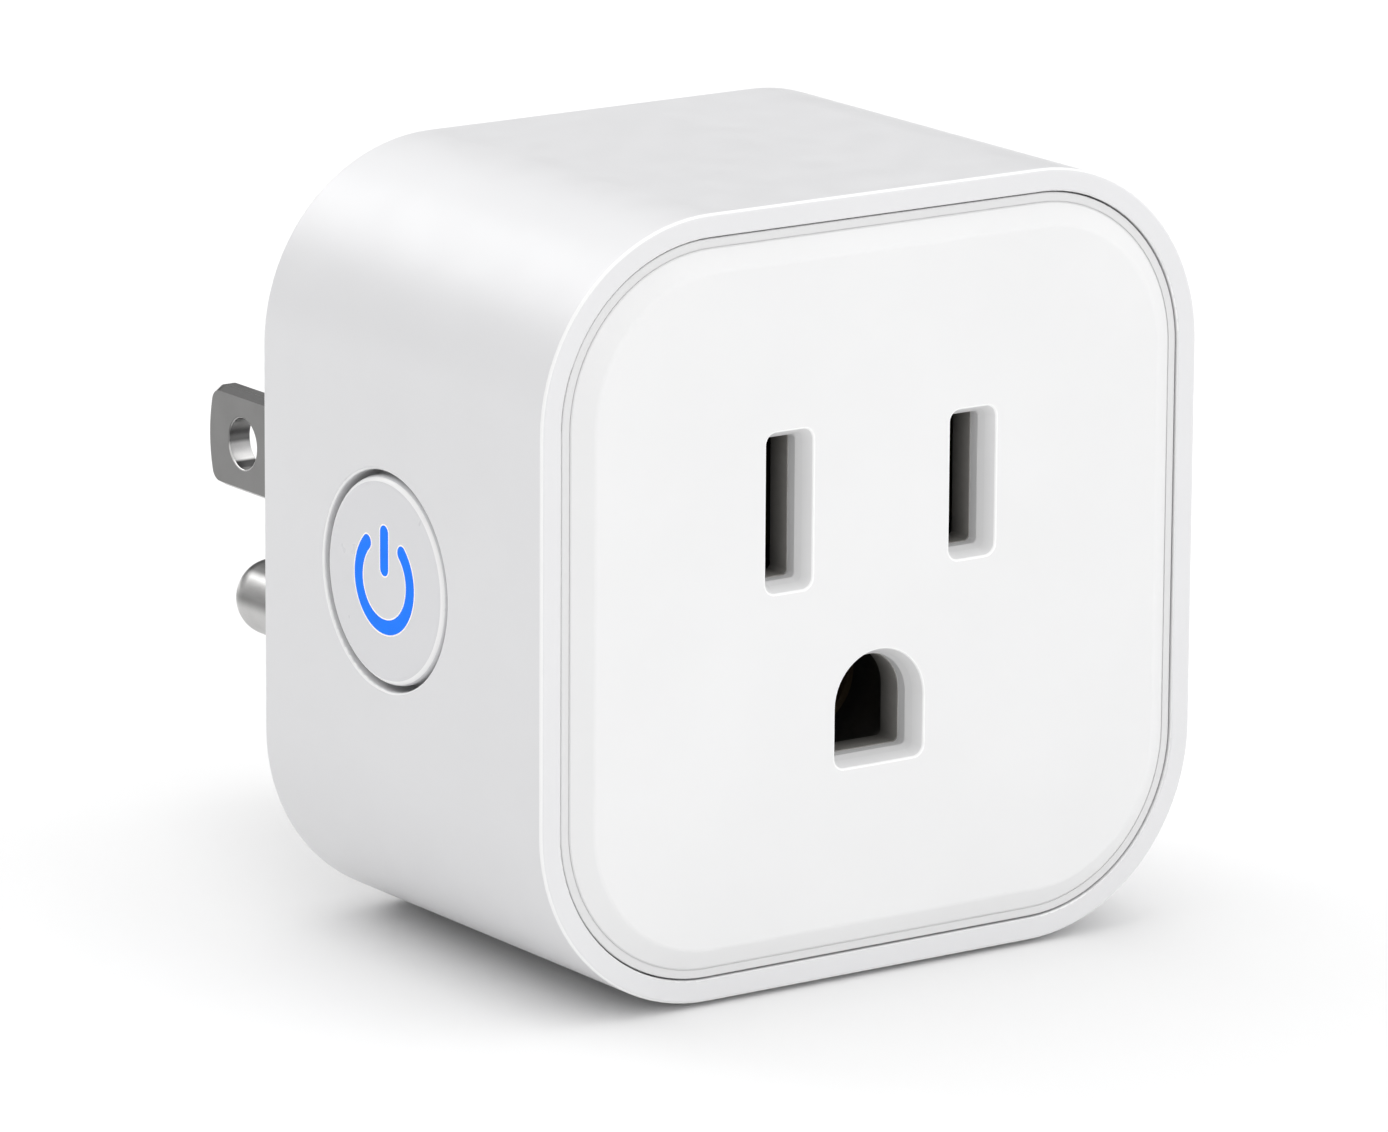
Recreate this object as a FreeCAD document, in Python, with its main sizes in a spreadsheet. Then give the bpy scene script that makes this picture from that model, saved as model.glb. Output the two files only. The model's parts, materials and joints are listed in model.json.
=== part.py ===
import FreeCAD, Part
import math
import os

import Sketcher

# A mains smart plug with one switched outlet in front and a plug behind, in millimetres.
# Origin: middle of the pad that meets the wall plate. +Y points into the wall, -Y to the
# user, +Z up, and the push button is on the -X side.

doc = FreeCAD.newDocument("smart_plug")
sheet = doc.addObject("Spreadsheet::Sheet", "sizes")
nodes = []
cell_count = 0


# ---------------------------------------------------------------- sizes and formulas

class Size:
    """A length that keeps both its number and its formula over the sheet's cells."""

    def __init__(self, number, formula):
        self.number = number
        self.formula = formula

    def joined(self, sign, first, second, number):
        return Size(number, f"({first.formula} {sign} {second.formula})")

    def __add__(self, other):
        other = as_size(other)
        return self.joined("+", self, other, self.number + other.number)

    def __sub__(self, other):
        other = as_size(other)
        return self.joined("-", self, other, self.number - other.number)

    def __mul__(self, other):
        other = as_size(other)
        return self.joined("*", self, other, self.number * other.number)

    def __truediv__(self, other):
        other = as_size(other)
        return self.joined("/", self, other, self.number / other.number)

    def __radd__(self, other):
        return as_size(other) + self

    def __rsub__(self, other):
        return as_size(other) - self

    def __rmul__(self, other):
        return as_size(other) * self

    def __neg__(self):
        return Size(-self.number, f"(-1 * {self.formula})")


def as_size(value):
    return value if isinstance(value, Size) else Size(float(value), f"({float(value)})")


def cell(alias, number):
    """Write one driving dimension into the sheet."""
    global cell_count
    cell_count += 1
    sheet.set(f"A{cell_count}", alias.replace("_", " "))
    sheet.set(f"B{cell_count}", str(number))
    sheet.setAlias(f"B{cell_count}", alias)
    return Size(float(number), f"sizes.{alias}")


def bind(thing, target, size):
    thing.setExpression(target, as_size(size).formula)


# ---------------------------------------------------------------- driving dimensions

# shell
BODY_WIDTH = cell("body_width", 45.3)
CORNER_RADIUS = cell("corner_radius", 11.3)
WALL = cell("wall_thickness", 2.0)
SLEEVE_DEPTH = cell("sleeve_depth", 28.6)
RIM_WIDTH = cell("rim_width", 1.32)
RIM_ROUND = cell("rim_rounding", 0.22)
INNER_RIM_ROUND = cell("inner_rim_rounding", 0.1)
PAD_HEIGHT = cell("pad_height", 2.0)
PAD_WIDTH = cell("pad_width", 38)
PAD_RADIUS = cell("pad_radius", 7)
COVER_GAP = cell("cover_gap", 0.1)
COVER_RECESS = cell("cover_recess", 0.3)
COVER_THICKNESS = cell("cover_thickness", 1.7)
COVER_SKIN = cell("cover_skin", 2.0)
COVER_HEAD_SEAT = cell("cover_screw_head_seat", 1.8)

# outlet face
PANEL_GAP = cell("panel_gap", 0.1)
PANEL_PROUD = cell("panel_proud", 0.6)
PANEL_THICKNESS = cell("panel_thickness", 1.8)
FLANGE_DROP = cell("flange_drop", 0.14)
FLANGE_BAND = cell("flange_band", 0.48)
LINE_GROOVE = cell("line_groove_width", 0.07)
BEVEL_WIDTH = cell("bevel_width", 1.22)
BEVEL_ROUND = cell("bevel_rounding", 0.5)

# outlet openings
SLOT_SPACING = cell("slot_spacing", 12.7)
SLOT_LEVEL = cell("slot_level", 5.2)
GROUND_DROP = cell("ground_drop", 11.9)
SLOT_MOUTH = cell("slot_mouth_width", 3.3)
NEUTRAL_MOUTH = cell("neutral_mouth_height", 9.35)
LINE_MOUTH = cell("line_mouth_height", 8.8)
MOUTH_CORNER = cell("mouth_corner_radius", 0.7)
THROAT_CORNER = cell("throat_corner_radius", 0.3)
MOUTH_ROUND = cell("mouth_edge_rounding", 0.12)
MOUTH_DRAFT = cell("mouth_draft", 0.54)
MOUTH_DEPTH = cell("mouth_depth", 1.12)
GROUND_RADIUS = cell("ground_mouth_radius", 3.12)
GROUND_FLOOR = cell("ground_mouth_floor", 3.6)

# push button
BUTTON_DEPTH = cell("button_depth", 15.9)
BUTTON_HOLE = cell("button_hole_diameter", 12.75)
BUTTON_HOLE_ROUND = cell("button_hole_rounding", 0.2)
BUTTON_GAP = cell("button_gap", 0.34)
BUTTON_ROUND = cell("button_rounding", 0.5)
BUTTON_TRAVEL = cell("button_travel", 0.3)
SYMBOL_RADIUS = cell("symbol_radius", 2.65)
SYMBOL_STROKE = cell("symbol_stroke", 0.86)
SYMBOL_GAP = cell("symbol_half_gap", 1.78)
SYMBOL_BAR_LOW = cell("symbol_bar_low", 0.3)
SYMBOL_BAR_HIGH = cell("symbol_bar_high", 3.25)

# plug
PLUG_X = cell("plug_centre_x", -8.1)
PLUG_LEVEL = cell("plug_blade_level", 1.8)
BLADE_WIDTH = cell("blade_width", 6.1)
BLADE_THICKNESS = cell("blade_thickness", 1.52)
BLADE_LENGTH = cell("blade_length", 16.0)
BLADE_HOLE = cell("blade_hole_diameter", 3.05)
BLADE_HOLE_BACK = cell("blade_hole_from_tip", 3.9)
GROUND_PIN_DIAMETER = cell("ground_pin_diameter", 4.7)
GROUND_PIN_LENGTH = cell("ground_pin_length", 22.0)

# plug joints: pin_root_step is how far the ground pin's root stands out inside the cover
PIN_ROOT_STEP = cell("pin_root_step", 0.6)
PIN_TAIL_RADIUS = cell("pin_tail_radius", 1.2)
NEUTRAL_TAIL_HALF = cell("neutral_tail_half_width", 1.2)
LINE_TAIL_HALF = cell("line_tail_half_width", 1.5)
STRAP_REAR = cell("strap_rear_place", -5.4)
STRAP_THICKNESS = cell("strap_thickness", 0.8)

# screws
SCREW_HEAD = cell("screw_head_radius", 1.9)
SCREW_SHANK = cell("screw_shank_radius", 1.0)
SCREW_PILOT = SCREW_SHANK + 0.05
SCREW_PASSAGE = SCREW_SHANK + 0.15
SCREW_RECESS = SCREW_HEAD + 0.2
SCREW_BITE = cell("screw_thread_length", 4)
SMALL_HEAD = cell("small_screw_head_radius", 1.6)
SMALL_SHANK = cell("small_screw_shank_radius", 0.8)
SMALL_BITE = cell("small_screw_thread_length", 1.2)
SMALL_PILOT = SMALL_SHANK + 0.05
SMALL_PASSAGE = SMALL_SHANK + 0.15

# contact block
CARRIER_HALF_WIDTH = cell("carrier_half_width", 10.5)
CONTACT_BASE_THICKNESS = cell("contact_base_thickness", 1.5)
BLOCK_CORNER = cell("contact_block_corner", 1.2)
EAR_THICKNESS = cell("carrier_ear_thickness", 1.8)
FRONT_WALL = cell("carrier_front_wall", 1.6)
CHAMBER_HALF = cell("chamber_half_width", 3.05)
STRIP = cell("contact_strip_thickness", 0.5)
TAIL_HALF_THICK = cell("tail_half_thickness", 0.4)
TAIL_HALF_WIDE = cell("tail_half_width", 1.3)
BOARD_SCREW_X = cell("board_screw_place", 7.6)

# circuit boards and relay
BOARD_REAR = cell("board_rear_depth", 7.8)
BOARD_THICKNESS = cell("board_thickness", 1.2)
BOARD_MARGIN = cell("board_margin", 0.45)
SCREW_PLACE = cell("cover_screw_place", 15.2)
SWITCH_BOARD_FACE = cell("switch_board_face", -15.5)
HEADER_PITCH = cell("header_pitch", 2.0)
HEADER_HALF = cell("header_pin_half_width", 0.3)
RELAY_X = cell("relay_centre_x", 15.6)
RELAY_HALF_WIDTH = cell("relay_half_width", 4.7)
RELAY_HALF_HEIGHT = cell("relay_half_height", 9.2)
RELAY_OPEN_ANGLE = cell("relay_open_angle", 2)
RELAY_PIN = cell("relay_pin_radius", 0.5)

# ---------------------------------------------------------------- places worked out from them

SLEEVE_REAR = -PAD_HEIGHT
RIM_PLANE = SLEEVE_REAR - SLEEVE_DEPTH
PANEL_FACE = RIM_PLANE - PANEL_PROUD
FLANGE_FACE = RIM_PLANE + FLANGE_DROP
PANEL_BACK = PANEL_FACE + PANEL_THICKNESS
THROAT_START = PANEL_FACE + MOUTH_DEPTH
HALF_BODY = BODY_WIDTH / 2
INNER_HALF = HALF_BODY - WALL
COVER_FRONT = SLEEVE_REAR - COVER_RECESS - COVER_THICKNESS
BOARD_BACK = -BOARD_REAR
BOARD_FRONT = BOARD_BACK - BOARD_THICKNESS
BASE_FRONT = BOARD_FRONT - CONTACT_BASE_THICKNESS
GROUND_LEVEL = SLOT_LEVEL - GROUND_DROP
HALF_SPACING = SLOT_SPACING / 2
BUTTON_Y = RIM_PLANE + BUTTON_DEPTH
PLUG_GROUND_LEVEL = PLUG_LEVEL - GROUND_DROP
NEUTRAL_BLADE_X = PLUG_X - HALF_SPACING
LINE_BLADE_X = PLUG_X + HALF_SPACING

# contact block, with the level at which the ground contact's tail leaves it
CARRIER_TOP = SLOT_LEVEL + 5.7
CARRIER_FLOOR = GROUND_LEVEL - 5.1
BOARD_SCREW_Z = CARRIER_FLOOR + 2.6
GROUND_TAIL_Z = GROUND_LEVEL - 3.35
STRAP_FRONT = STRAP_REAR - STRAP_THICKNESS

# push switch, counted from the face of its upright board
SWITCH_TOP = SWITCH_BOARD_FACE - 2.4
PLUNGER_TIP = SWITCH_BOARD_FACE - 3.3
PLUNGER_REAR = SWITCH_BOARD_FACE - 1.7

# rows of tall parts on the main board, below and above the contact block
WIFI_LEVEL = CARRIER_TOP + 2.4
LOWER_BAY = -INNER_HALF + 3.95
UPPER_BAY = INNER_HALF - 5.0


# ---------------------------------------------------------------- sketches

def new_body(name):
    return doc.addObject("PartDesign::Body", name)


def new_sketch(body, name, plane, lift=0.0):
    """A sketch on one of the body's own origin planes, lifted along that plane's normal.

    XZ_Plane looks along -Y, so a lift of 5 puts its sketch at Y = -5.
    """
    sketch = body.newObject("Sketcher::SketchObject", name)
    support = next(f for f in body.Origin.OriginFeatures if f.Role == plane)
    sketch.AttachmentSupport = [(support, "")]
    sketch.MapMode = "FlatFace"
    bind(sketch, "AttachmentOffset.Base.z", lift)
    return sketch


def constrain(sketch, kind, *references, size=None):
    """Add a constraint, bound to a size when it has one."""
    if size is None:
        return sketch.addConstraint(Sketcher.Constraint(kind, *references))
    size = as_size(size)
    index = sketch.addConstraint(Sketcher.Constraint(kind, *references, size.number))
    sketch.setExpression(f"Constraints[{index}]", size.formula)
    return index


def hold_x(sketch, edge, point, x):
    if as_size(x).number == 0.0:
        constrain(sketch, "PointOnObject", edge, point, -2)
    else:
        constrain(sketch, "DistanceX", -1, 1, edge, point, size=x)


def hold_y(sketch, edge, point, y):
    if as_size(y).number == 0.0:
        constrain(sketch, "PointOnObject", edge, point, -1)
    else:
        constrain(sketch, "DistanceY", -1, 1, edge, point, size=y)


def flat(x, y):
    return FreeCAD.Vector(as_size(x).number, as_size(y).number, 0)


def arc(centre, radius, start, end):
    circle = Part.Circle(centre, FreeCAD.Vector(0, 0, 1), radius)
    return Part.ArcOfCircle(circle, math.radians(start), math.radians(end))


def chain(sketch, edges, backward=()):
    """Join edges in a closed loop, each tangent to the next; backward edges run end to start."""
    first = sketch.addGeometry(edges)[0]
    for step in range(len(edges)):
        following = (step + 1) % len(edges)
        leave = 1 if step in backward else 2
        arrive = 2 if following in backward else 1
        constrain(sketch, "Tangent", first + step, leave, first + following, arrive)
    return first


def rounded_rectangle(sketch, left, right, low, high, radius):
    """Four lines and four corner arcs, each side held at its own coordinate."""
    x0, x1, y0, y1, r = (as_size(size).number for size in (left, right, low, high, radius))
    first = chain(sketch, [
        Part.LineSegment(flat(x1, y0 + r), flat(x1, y1 - r)),
        arc(flat(x1 - r, y1 - r), r, 0, 90),
        Part.LineSegment(flat(x1 - r, y1), flat(x0 + r, y1)),
        arc(flat(x0 + r, y1 - r), r, 90, 180),
        Part.LineSegment(flat(x0, y1 - r), flat(x0, y0 + r)),
        arc(flat(x0 + r, y0 + r), r, 180, 270),
        Part.LineSegment(flat(x0 + r, y0), flat(x1 - r, y0)),
        arc(flat(x1 - r, y0 + r), r, 270, 360),
    ])
    for step, kind in ((0, "Vertical"), (2, "Horizontal"), (4, "Vertical"), (6, "Horizontal")):
        constrain(sketch, kind, first + step)
    for step in (3, 5, 7):
        constrain(sketch, "Equal", first + 1, first + step)
    constrain(sketch, "Radius", first + 1, size=radius)
    hold_x(sketch, first, 1, right)
    hold_y(sketch, first + 2, 1, high)
    hold_x(sketch, first + 4, 1, left)
    hold_y(sketch, first + 6, 1, low)


def rounded_square(sketch, width, radius):
    half = as_size(width) / 2
    rounded_rectangle(sketch, -half, half, -half, half, radius)


def circle(sketch, x, y, radius):
    index = sketch.addGeometry(Part.Circle(flat(x, y), FreeCAD.Vector(0, 0, 1), as_size(radius).number))
    constrain(sketch, "Radius", index, size=radius)
    hold_x(sketch, index, 3, x)
    hold_y(sketch, index, 3, y)


def upright_slot(sketch, x, low, high, half_width):
    """A vertical slot with round ends, from low to high over all."""
    bottom = as_size(low) + half_width
    top = as_size(high) - half_width
    r = as_size(half_width).number
    x0 = as_size(x).number
    first = chain(sketch, [
        Part.LineSegment(flat(x0 + r, bottom), flat(x0 + r, top)),
        arc(flat(x0, top), r, 0, 180),
        Part.LineSegment(flat(x0 - r, top), flat(x0 - r, bottom)),
        arc(flat(x0, bottom), r, 180, 360),
    ])
    constrain(sketch, "Vertical", first)
    constrain(sketch, "Vertical", first + 2)
    constrain(sketch, "Radius", first + 1, size=half_width)
    hold_x(sketch, first + 1, 3, x)
    hold_y(sketch, first + 1, 3, top)
    hold_y(sketch, first + 3, 3, bottom)


def arch(sketch, x, y, radius, floor, corner):
    """A round-topped opening: half circle above (x, y), flat floor with small corners below."""
    r, f, c = (as_size(size).number for size in (radius, floor, corner))
    x0, y0 = as_size(x).number, as_size(y).number
    first = chain(sketch, [
        arc(flat(x0, y0), r, 0, 180),
        Part.LineSegment(flat(x0 - r, y0), flat(x0 - r, y0 - f + c)),
        arc(flat(x0 - r + c, y0 - f + c), c, 180, 270),
        Part.LineSegment(flat(x0 - r + c, y0 - f), flat(x0 + r - c, y0 - f)),
        arc(flat(x0 + r - c, y0 - f + c), c, 270, 360),
        Part.LineSegment(flat(x0 + r, y0 - f + c), flat(x0 + r, y0)),
    ])
    constrain(sketch, "Vertical", first + 1)
    constrain(sketch, "Vertical", first + 5)
    constrain(sketch, "Horizontal", first + 3)
    constrain(sketch, "Equal", first + 2, first + 4)
    constrain(sketch, "Radius", first + 2, size=corner)
    constrain(sketch, "Radius", first, size=radius)
    hold_x(sketch, first, 3, x)
    hold_y(sketch, first, 3, y)
    hold_y(sketch, first + 3, 1, as_size(y) - floor)


def polygon(sketch, points):
    """A closed polygon with every corner held at its own coordinates."""
    count = len(points)
    edges = [Part.LineSegment(flat(*points[step]), flat(*points[(step + 1) % count]))
             for step in range(count)]
    first = sketch.addGeometry(edges)[0]
    for step in range(count):
        constrain(sketch, "Coincident", first + step, 2, first + (step + 1) % count, 1)
        hold_x(sketch, first + step, 1, points[step][0])
        hold_y(sketch, first + step, 1, points[step][1])


# ---------------------------------------------------------------- features of a body

def add_feature(body, kind, name, sketch):
    feature = body.newObject(kind, name)
    feature.Profile = sketch
    sketch.Visibility = False
    return feature


def pad(body, sketch, length, name="pad"):
    """Grow a sketch along its plane's normal."""
    feature = add_feature(body, "PartDesign::Pad", name, sketch)
    bind(feature, "Length", length)
    return feature


def pocket(body, sketch, length, name="pocket"):
    """Cut a sketch away along its plane's normal, and check that something was cut."""
    doc.recompute()
    before = body.Shape.Volume
    feature = add_feature(body, "PartDesign::Pocket", name, sketch)
    feature.Reversed = True
    bind(feature, "Length", length)
    doc.recompute()
    if not body.Shape.Volume < before:
        raise RuntimeError(f"{body.Name}: {name} cuts nothing")
    return feature


def loft(body, kind, start, end, name):
    feature = add_feature(body, kind, name, start)
    feature.Sections = [end]
    feature.Ruled = True
    return feature


def round_edges(body, base, chosen, radius, name):
    """Fillet the base feature's edges that the test picks out."""
    doc.recompute()
    picked = [f"Edge{number}" for number, edge in enumerate(base.Shape.Edges, 1) if chosen(edge)]
    if not picked:
        raise RuntimeError(f"{body.Name}: {name} finds no edges")
    feature = body.newObject("PartDesign::Fillet", name)
    feature.Base = (base, picked)
    bind(feature, "Radius", radius)
    return feature


def lies_at(axis, size, reach=None):
    """A test for edges that lie wholly at one coordinate, optionally only beyond a half width."""
    place = as_size(size).number

    def test(edge):
        box = edge.BoundBox
        low, high = getattr(box, f"{axis}Min"), getattr(box, f"{axis}Max")
        flat_there = abs(low - place) < 1e-4 and abs(high - place) < 1e-4
        if reach is None:
            return flat_there
        widest = max(abs(box.XMin), abs(box.XMax), abs(box.ZMin), abs(box.ZMax))
        return flat_there and widest > as_size(reach).number
    return test


# ---------------------------------------------------------------- simple solids

def box(name, x, y, z):
    """A box between low and high bounds, each given as a pair."""
    solid = doc.addObject("Part::Box", name)
    for side, axis, (low, high) in (("Length", "x", x), ("Width", "y", y), ("Height", "z", z)):
        bind(solid, side, as_size(high) - low)
        bind(solid, f"Placement.Base.{axis}", low)
    return solid


AXIS_TURNS = {
    "x": FreeCAD.Rotation(FreeCAD.Vector(0, 1, 0), 90),
    "y": FreeCAD.Rotation(FreeCAD.Vector(1, 0, 0), -90),
    "z": FreeCAD.Rotation(),
}


def rod(name, axis, centre, radius, span):
    """A cylinder along one axis over a span, centred at the other two coordinates."""
    solid = doc.addObject("Part::Cylinder", name)
    low, high = span
    places = dict(zip([letter for letter in "xyz" if letter != axis], centre))
    places[axis] = low
    solid.Placement = FreeCAD.Placement(FreeCAD.Vector(), AXIS_TURNS[axis])
    for letter, place in places.items():
        bind(solid, f"Placement.Base.{letter}", place)
    bind(solid, "Radius", radius)
    bind(solid, "Height", as_size(high) - low)
    return solid


def fuse(name, *solids):
    result = doc.addObject("Part::MultiFuse", name)
    result.Shapes = list(solids)
    result.Refine = True
    return result


def cut(name, base, *tools):
    result = doc.addObject("Part::Cut", name)
    result.Base = base
    result.Tool = tools[0] if len(tools) == 1 else fuse(f"{name}_tools", *tools)
    return result


def ring(name, axis, centre, outer, inner, span):
    return cut(name, rod(f"{name}_outer", axis, centre, outer, span),
               rod(f"{name}_inner", axis, centre, inner, span))


def soften(name, base, chosen, radius):
    """Fillet the edges of a simple solid that the test picks out."""
    doc.recompute()
    result = doc.addObject("Part::Fillet", name)
    result.Base = base
    r = as_size(radius).number
    result.Edges = [(number, r, r) for number, edge in enumerate(base.Shape.Edges, 1) if chosen(edge)]
    return result


def group(name, solids):
    """Separate identical solids kept as one piece of the assembly."""
    result = doc.addObject("Part::Compound", name)
    result.Links = solids
    return result


def node(name, thing):
    thing.Label = name
    nodes.append((name, thing))
    return thing


def about(middle, half):
    """The low and high bounds of a span around a middle."""
    return as_size(middle) - half, as_size(middle) + half


# ---------------------------------------------------------------- shell

def cover_screw_centres():
    return [(SCREW_PLACE * sx, SCREW_PLACE * sz) for sx in (-1, 1) for sz in (-1, 1)]


def make_housing_sleeve():
    """Square tube with big corner radii, a ledge for the panel and one for the rear cover."""
    body = new_body("housing_sleeve")
    outline = new_sketch(body, "sleeve_outline", "XZ_Plane", PAD_HEIGHT)
    rounded_square(outline, BODY_WIDTH, CORNER_RADIUS)
    shell = pad(body, outline, SLEEVE_DEPTH, "sleeve_block")
    shell = round_edges(body, shell, lies_at("Y", RIM_PLANE), RIM_ROUND, "front_outer_round")
    shell = round_edges(body, shell, lies_at("Y", SLEEVE_REAR), RIM_ROUND, "rear_outer_round")

    bore = new_sketch(body, "sleeve_bore", "XZ_Plane", PAD_HEIGHT)
    rounded_square(bore, BODY_WIDTH - WALL * 2, CORNER_RADIUS - WALL)
    pocket(body, bore, SLEEVE_DEPTH, "sleeve_bore_cut")
    front_seat = new_sketch(body, "panel_seat", "XZ_Plane", -PANEL_BACK)
    rounded_square(front_seat, BODY_WIDTH - RIM_WIDTH * 2, CORNER_RADIUS - RIM_WIDTH)
    seat = pocket(body, front_seat, PANEL_BACK - RIM_PLANE, "panel_seat_cut")
    round_edges(body, seat, lies_at("Y", RIM_PLANE, INNER_HALF), INNER_RIM_ROUND, "front_inner_round")
    rear_seat = new_sketch(body, "cover_seat", "XZ_Plane", PAD_HEIGHT)
    rounded_square(rear_seat, BODY_WIDTH - RIM_WIDTH * 2, CORNER_RADIUS - RIM_WIDTH)
    pocket(body, rear_seat, COVER_RECESS + COVER_THICKNESS, "cover_seat_cut")

    hole = new_sketch(body, "button_hole", "YZ_Plane", -HALF_BODY)
    circle(hole, BUTTON_Y, 0, BUTTON_HOLE / 2)
    drilled = pocket(body, hole, WALL, "button_hole_cut")
    round_edges(body, drilled, lies_at("X", -HALF_BODY), BUTTON_HOLE_ROUND, "button_hole_round")

    bosses = new_sketch(body, "screw_bosses", "XZ_Plane", -COVER_FRONT)
    webs = new_sketch(body, "screw_webs", "XZ_Plane", -COVER_FRONT)
    boss_radius = 2.6
    web_half = 1.0
    web_reach = INNER_HALF + 0.5
    for x, z in cover_screw_centres():
        circle(bosses, x, z, boss_radius)
        low, high = (x, web_reach) if x.number > 0 else (-web_reach, x)
        polygon(webs, [(low, z - web_half), (high, z - web_half), (high, z + web_half), (low, z + web_half)])
    boss_length = 5.0
    pad(body, bosses, boss_length, "screw_bosses_pad")
    pad(body, webs, boss_length, "screw_webs_pad")
    pilots = new_sketch(body, "screw_pilots", "XZ_Plane", -COVER_FRONT)
    for x, z in cover_screw_centres():
        circle(pilots, x, z, SCREW_PILOT)
    pocket(body, pilots, boss_length, "screw_pilots_cut")
    node("housing_sleeve", body)


def make_rear_cover():
    """Plate that closes the back, with the raised pad that rests on the wall plate."""
    body = new_body("rear_cover")
    plate = new_sketch(body, "cover_plate", "XZ_Plane", PAD_HEIGHT + COVER_RECESS)
    seat_width = BODY_WIDTH - RIM_WIDTH * 2
    rounded_square(plate, seat_width - COVER_GAP * 2, CORNER_RADIUS - RIM_WIDTH - COVER_GAP)
    pad(body, plate, COVER_THICKNESS, "cover_plate_pad")
    raised = new_sketch(body, "wall_pad", "XZ_Plane", 0)
    rounded_square(raised, PAD_WIDTH, PAD_RADIUS)
    block = pad(body, raised, PAD_HEIGHT + COVER_RECESS, "wall_pad_block")
    round_edges(body, block, lies_at("Y", 0), 0.6, "wall_pad_round")

    pad_wall = 2.0
    hollow = new_sketch(body, "cover_hollow", "XZ_Plane", COVER_SKIN)
    rounded_square(hollow, PAD_WIDTH - pad_wall * 2, PAD_RADIUS - pad_wall)
    hollow_depth = -COVER_FRONT - COVER_SKIN
    pocket(body, hollow, hollow_depth, "cover_hollow_cut")

    island_half_wide = 1.9
    island_half_tall = BLADE_WIDTH / 2 + 1.5
    islands = new_sketch(body, "cover_islands", "XZ_Plane", COVER_SKIN)
    for x in (NEUTRAL_BLADE_X, LINE_BLADE_X):
        rounded_rectangle(islands, x - island_half_wide, x + island_half_wide,
                          PLUG_LEVEL - island_half_tall, PLUG_LEVEL + island_half_tall, 0.5)
    circle(islands, PLUG_X, PLUG_GROUND_LEVEL, GROUND_PIN_DIAMETER / 2 + PIN_ROOT_STEP + 1.3)
    for x, z in cover_screw_centres():
        circle(islands, x, z, SCREW_HEAD + 1)
    pad(body, islands, hollow_depth, "cover_islands_pad")

    openings = new_sketch(body, "cover_openings", "XZ_Plane", 0)
    fit = 0.05
    half_thick = BLADE_THICKNESS / 2 + fit
    half_wide = BLADE_WIDTH / 2 + fit
    for x in (NEUTRAL_BLADE_X, LINE_BLADE_X):
        rounded_rectangle(openings, x - half_thick, x + half_thick,
                          PLUG_LEVEL - half_wide, PLUG_LEVEL + half_wide, 0.15)
    circle(openings, PLUG_X, PLUG_GROUND_LEVEL, GROUND_PIN_DIAMETER / 2 + PIN_ROOT_STEP + fit)
    for x, z in cover_screw_centres():
        circle(openings, x, z, SCREW_PASSAGE)
    pocket(body, openings, -COVER_FRONT, "cover_openings_cut")
    heads = new_sketch(body, "cover_counterbores", "XZ_Plane", 0)
    for x, z in cover_screw_centres():
        circle(heads, x, z, SCREW_RECESS)
    pocket(body, heads, COVER_HEAD_SEAT, "cover_counterbores_cut")
    node("rear_cover", body)


def draw_slot(sketch, x, width, height, corner):
    rounded_rectangle(sketch, x - width / 2, x + width / 2, SLOT_LEVEL - height / 2,
                      SLOT_LEVEL + height / 2, corner)


def slot_rows():
    """Centre and mouth height of each blade slot; the neutral slot is the taller one."""
    return (("neutral", -HALF_SPACING, NEUTRAL_MOUTH), ("line", HALF_SPACING, LINE_MOUTH))


def draw_throats(sketch, shrink=0.0):
    """The two blade openings and the ground opening, where their straight part starts."""
    narrower = MOUTH_DRAFT * 2 + shrink * 2
    for _, x, height in slot_rows():
        draw_slot(sketch, x, SLOT_MOUTH - narrower, height - narrower, THROAT_CORNER)
    arch(sketch, 0, GROUND_LEVEL, GROUND_RADIUS - narrower / 2, GROUND_FLOOR - narrower / 2, THROAT_CORNER)


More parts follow.
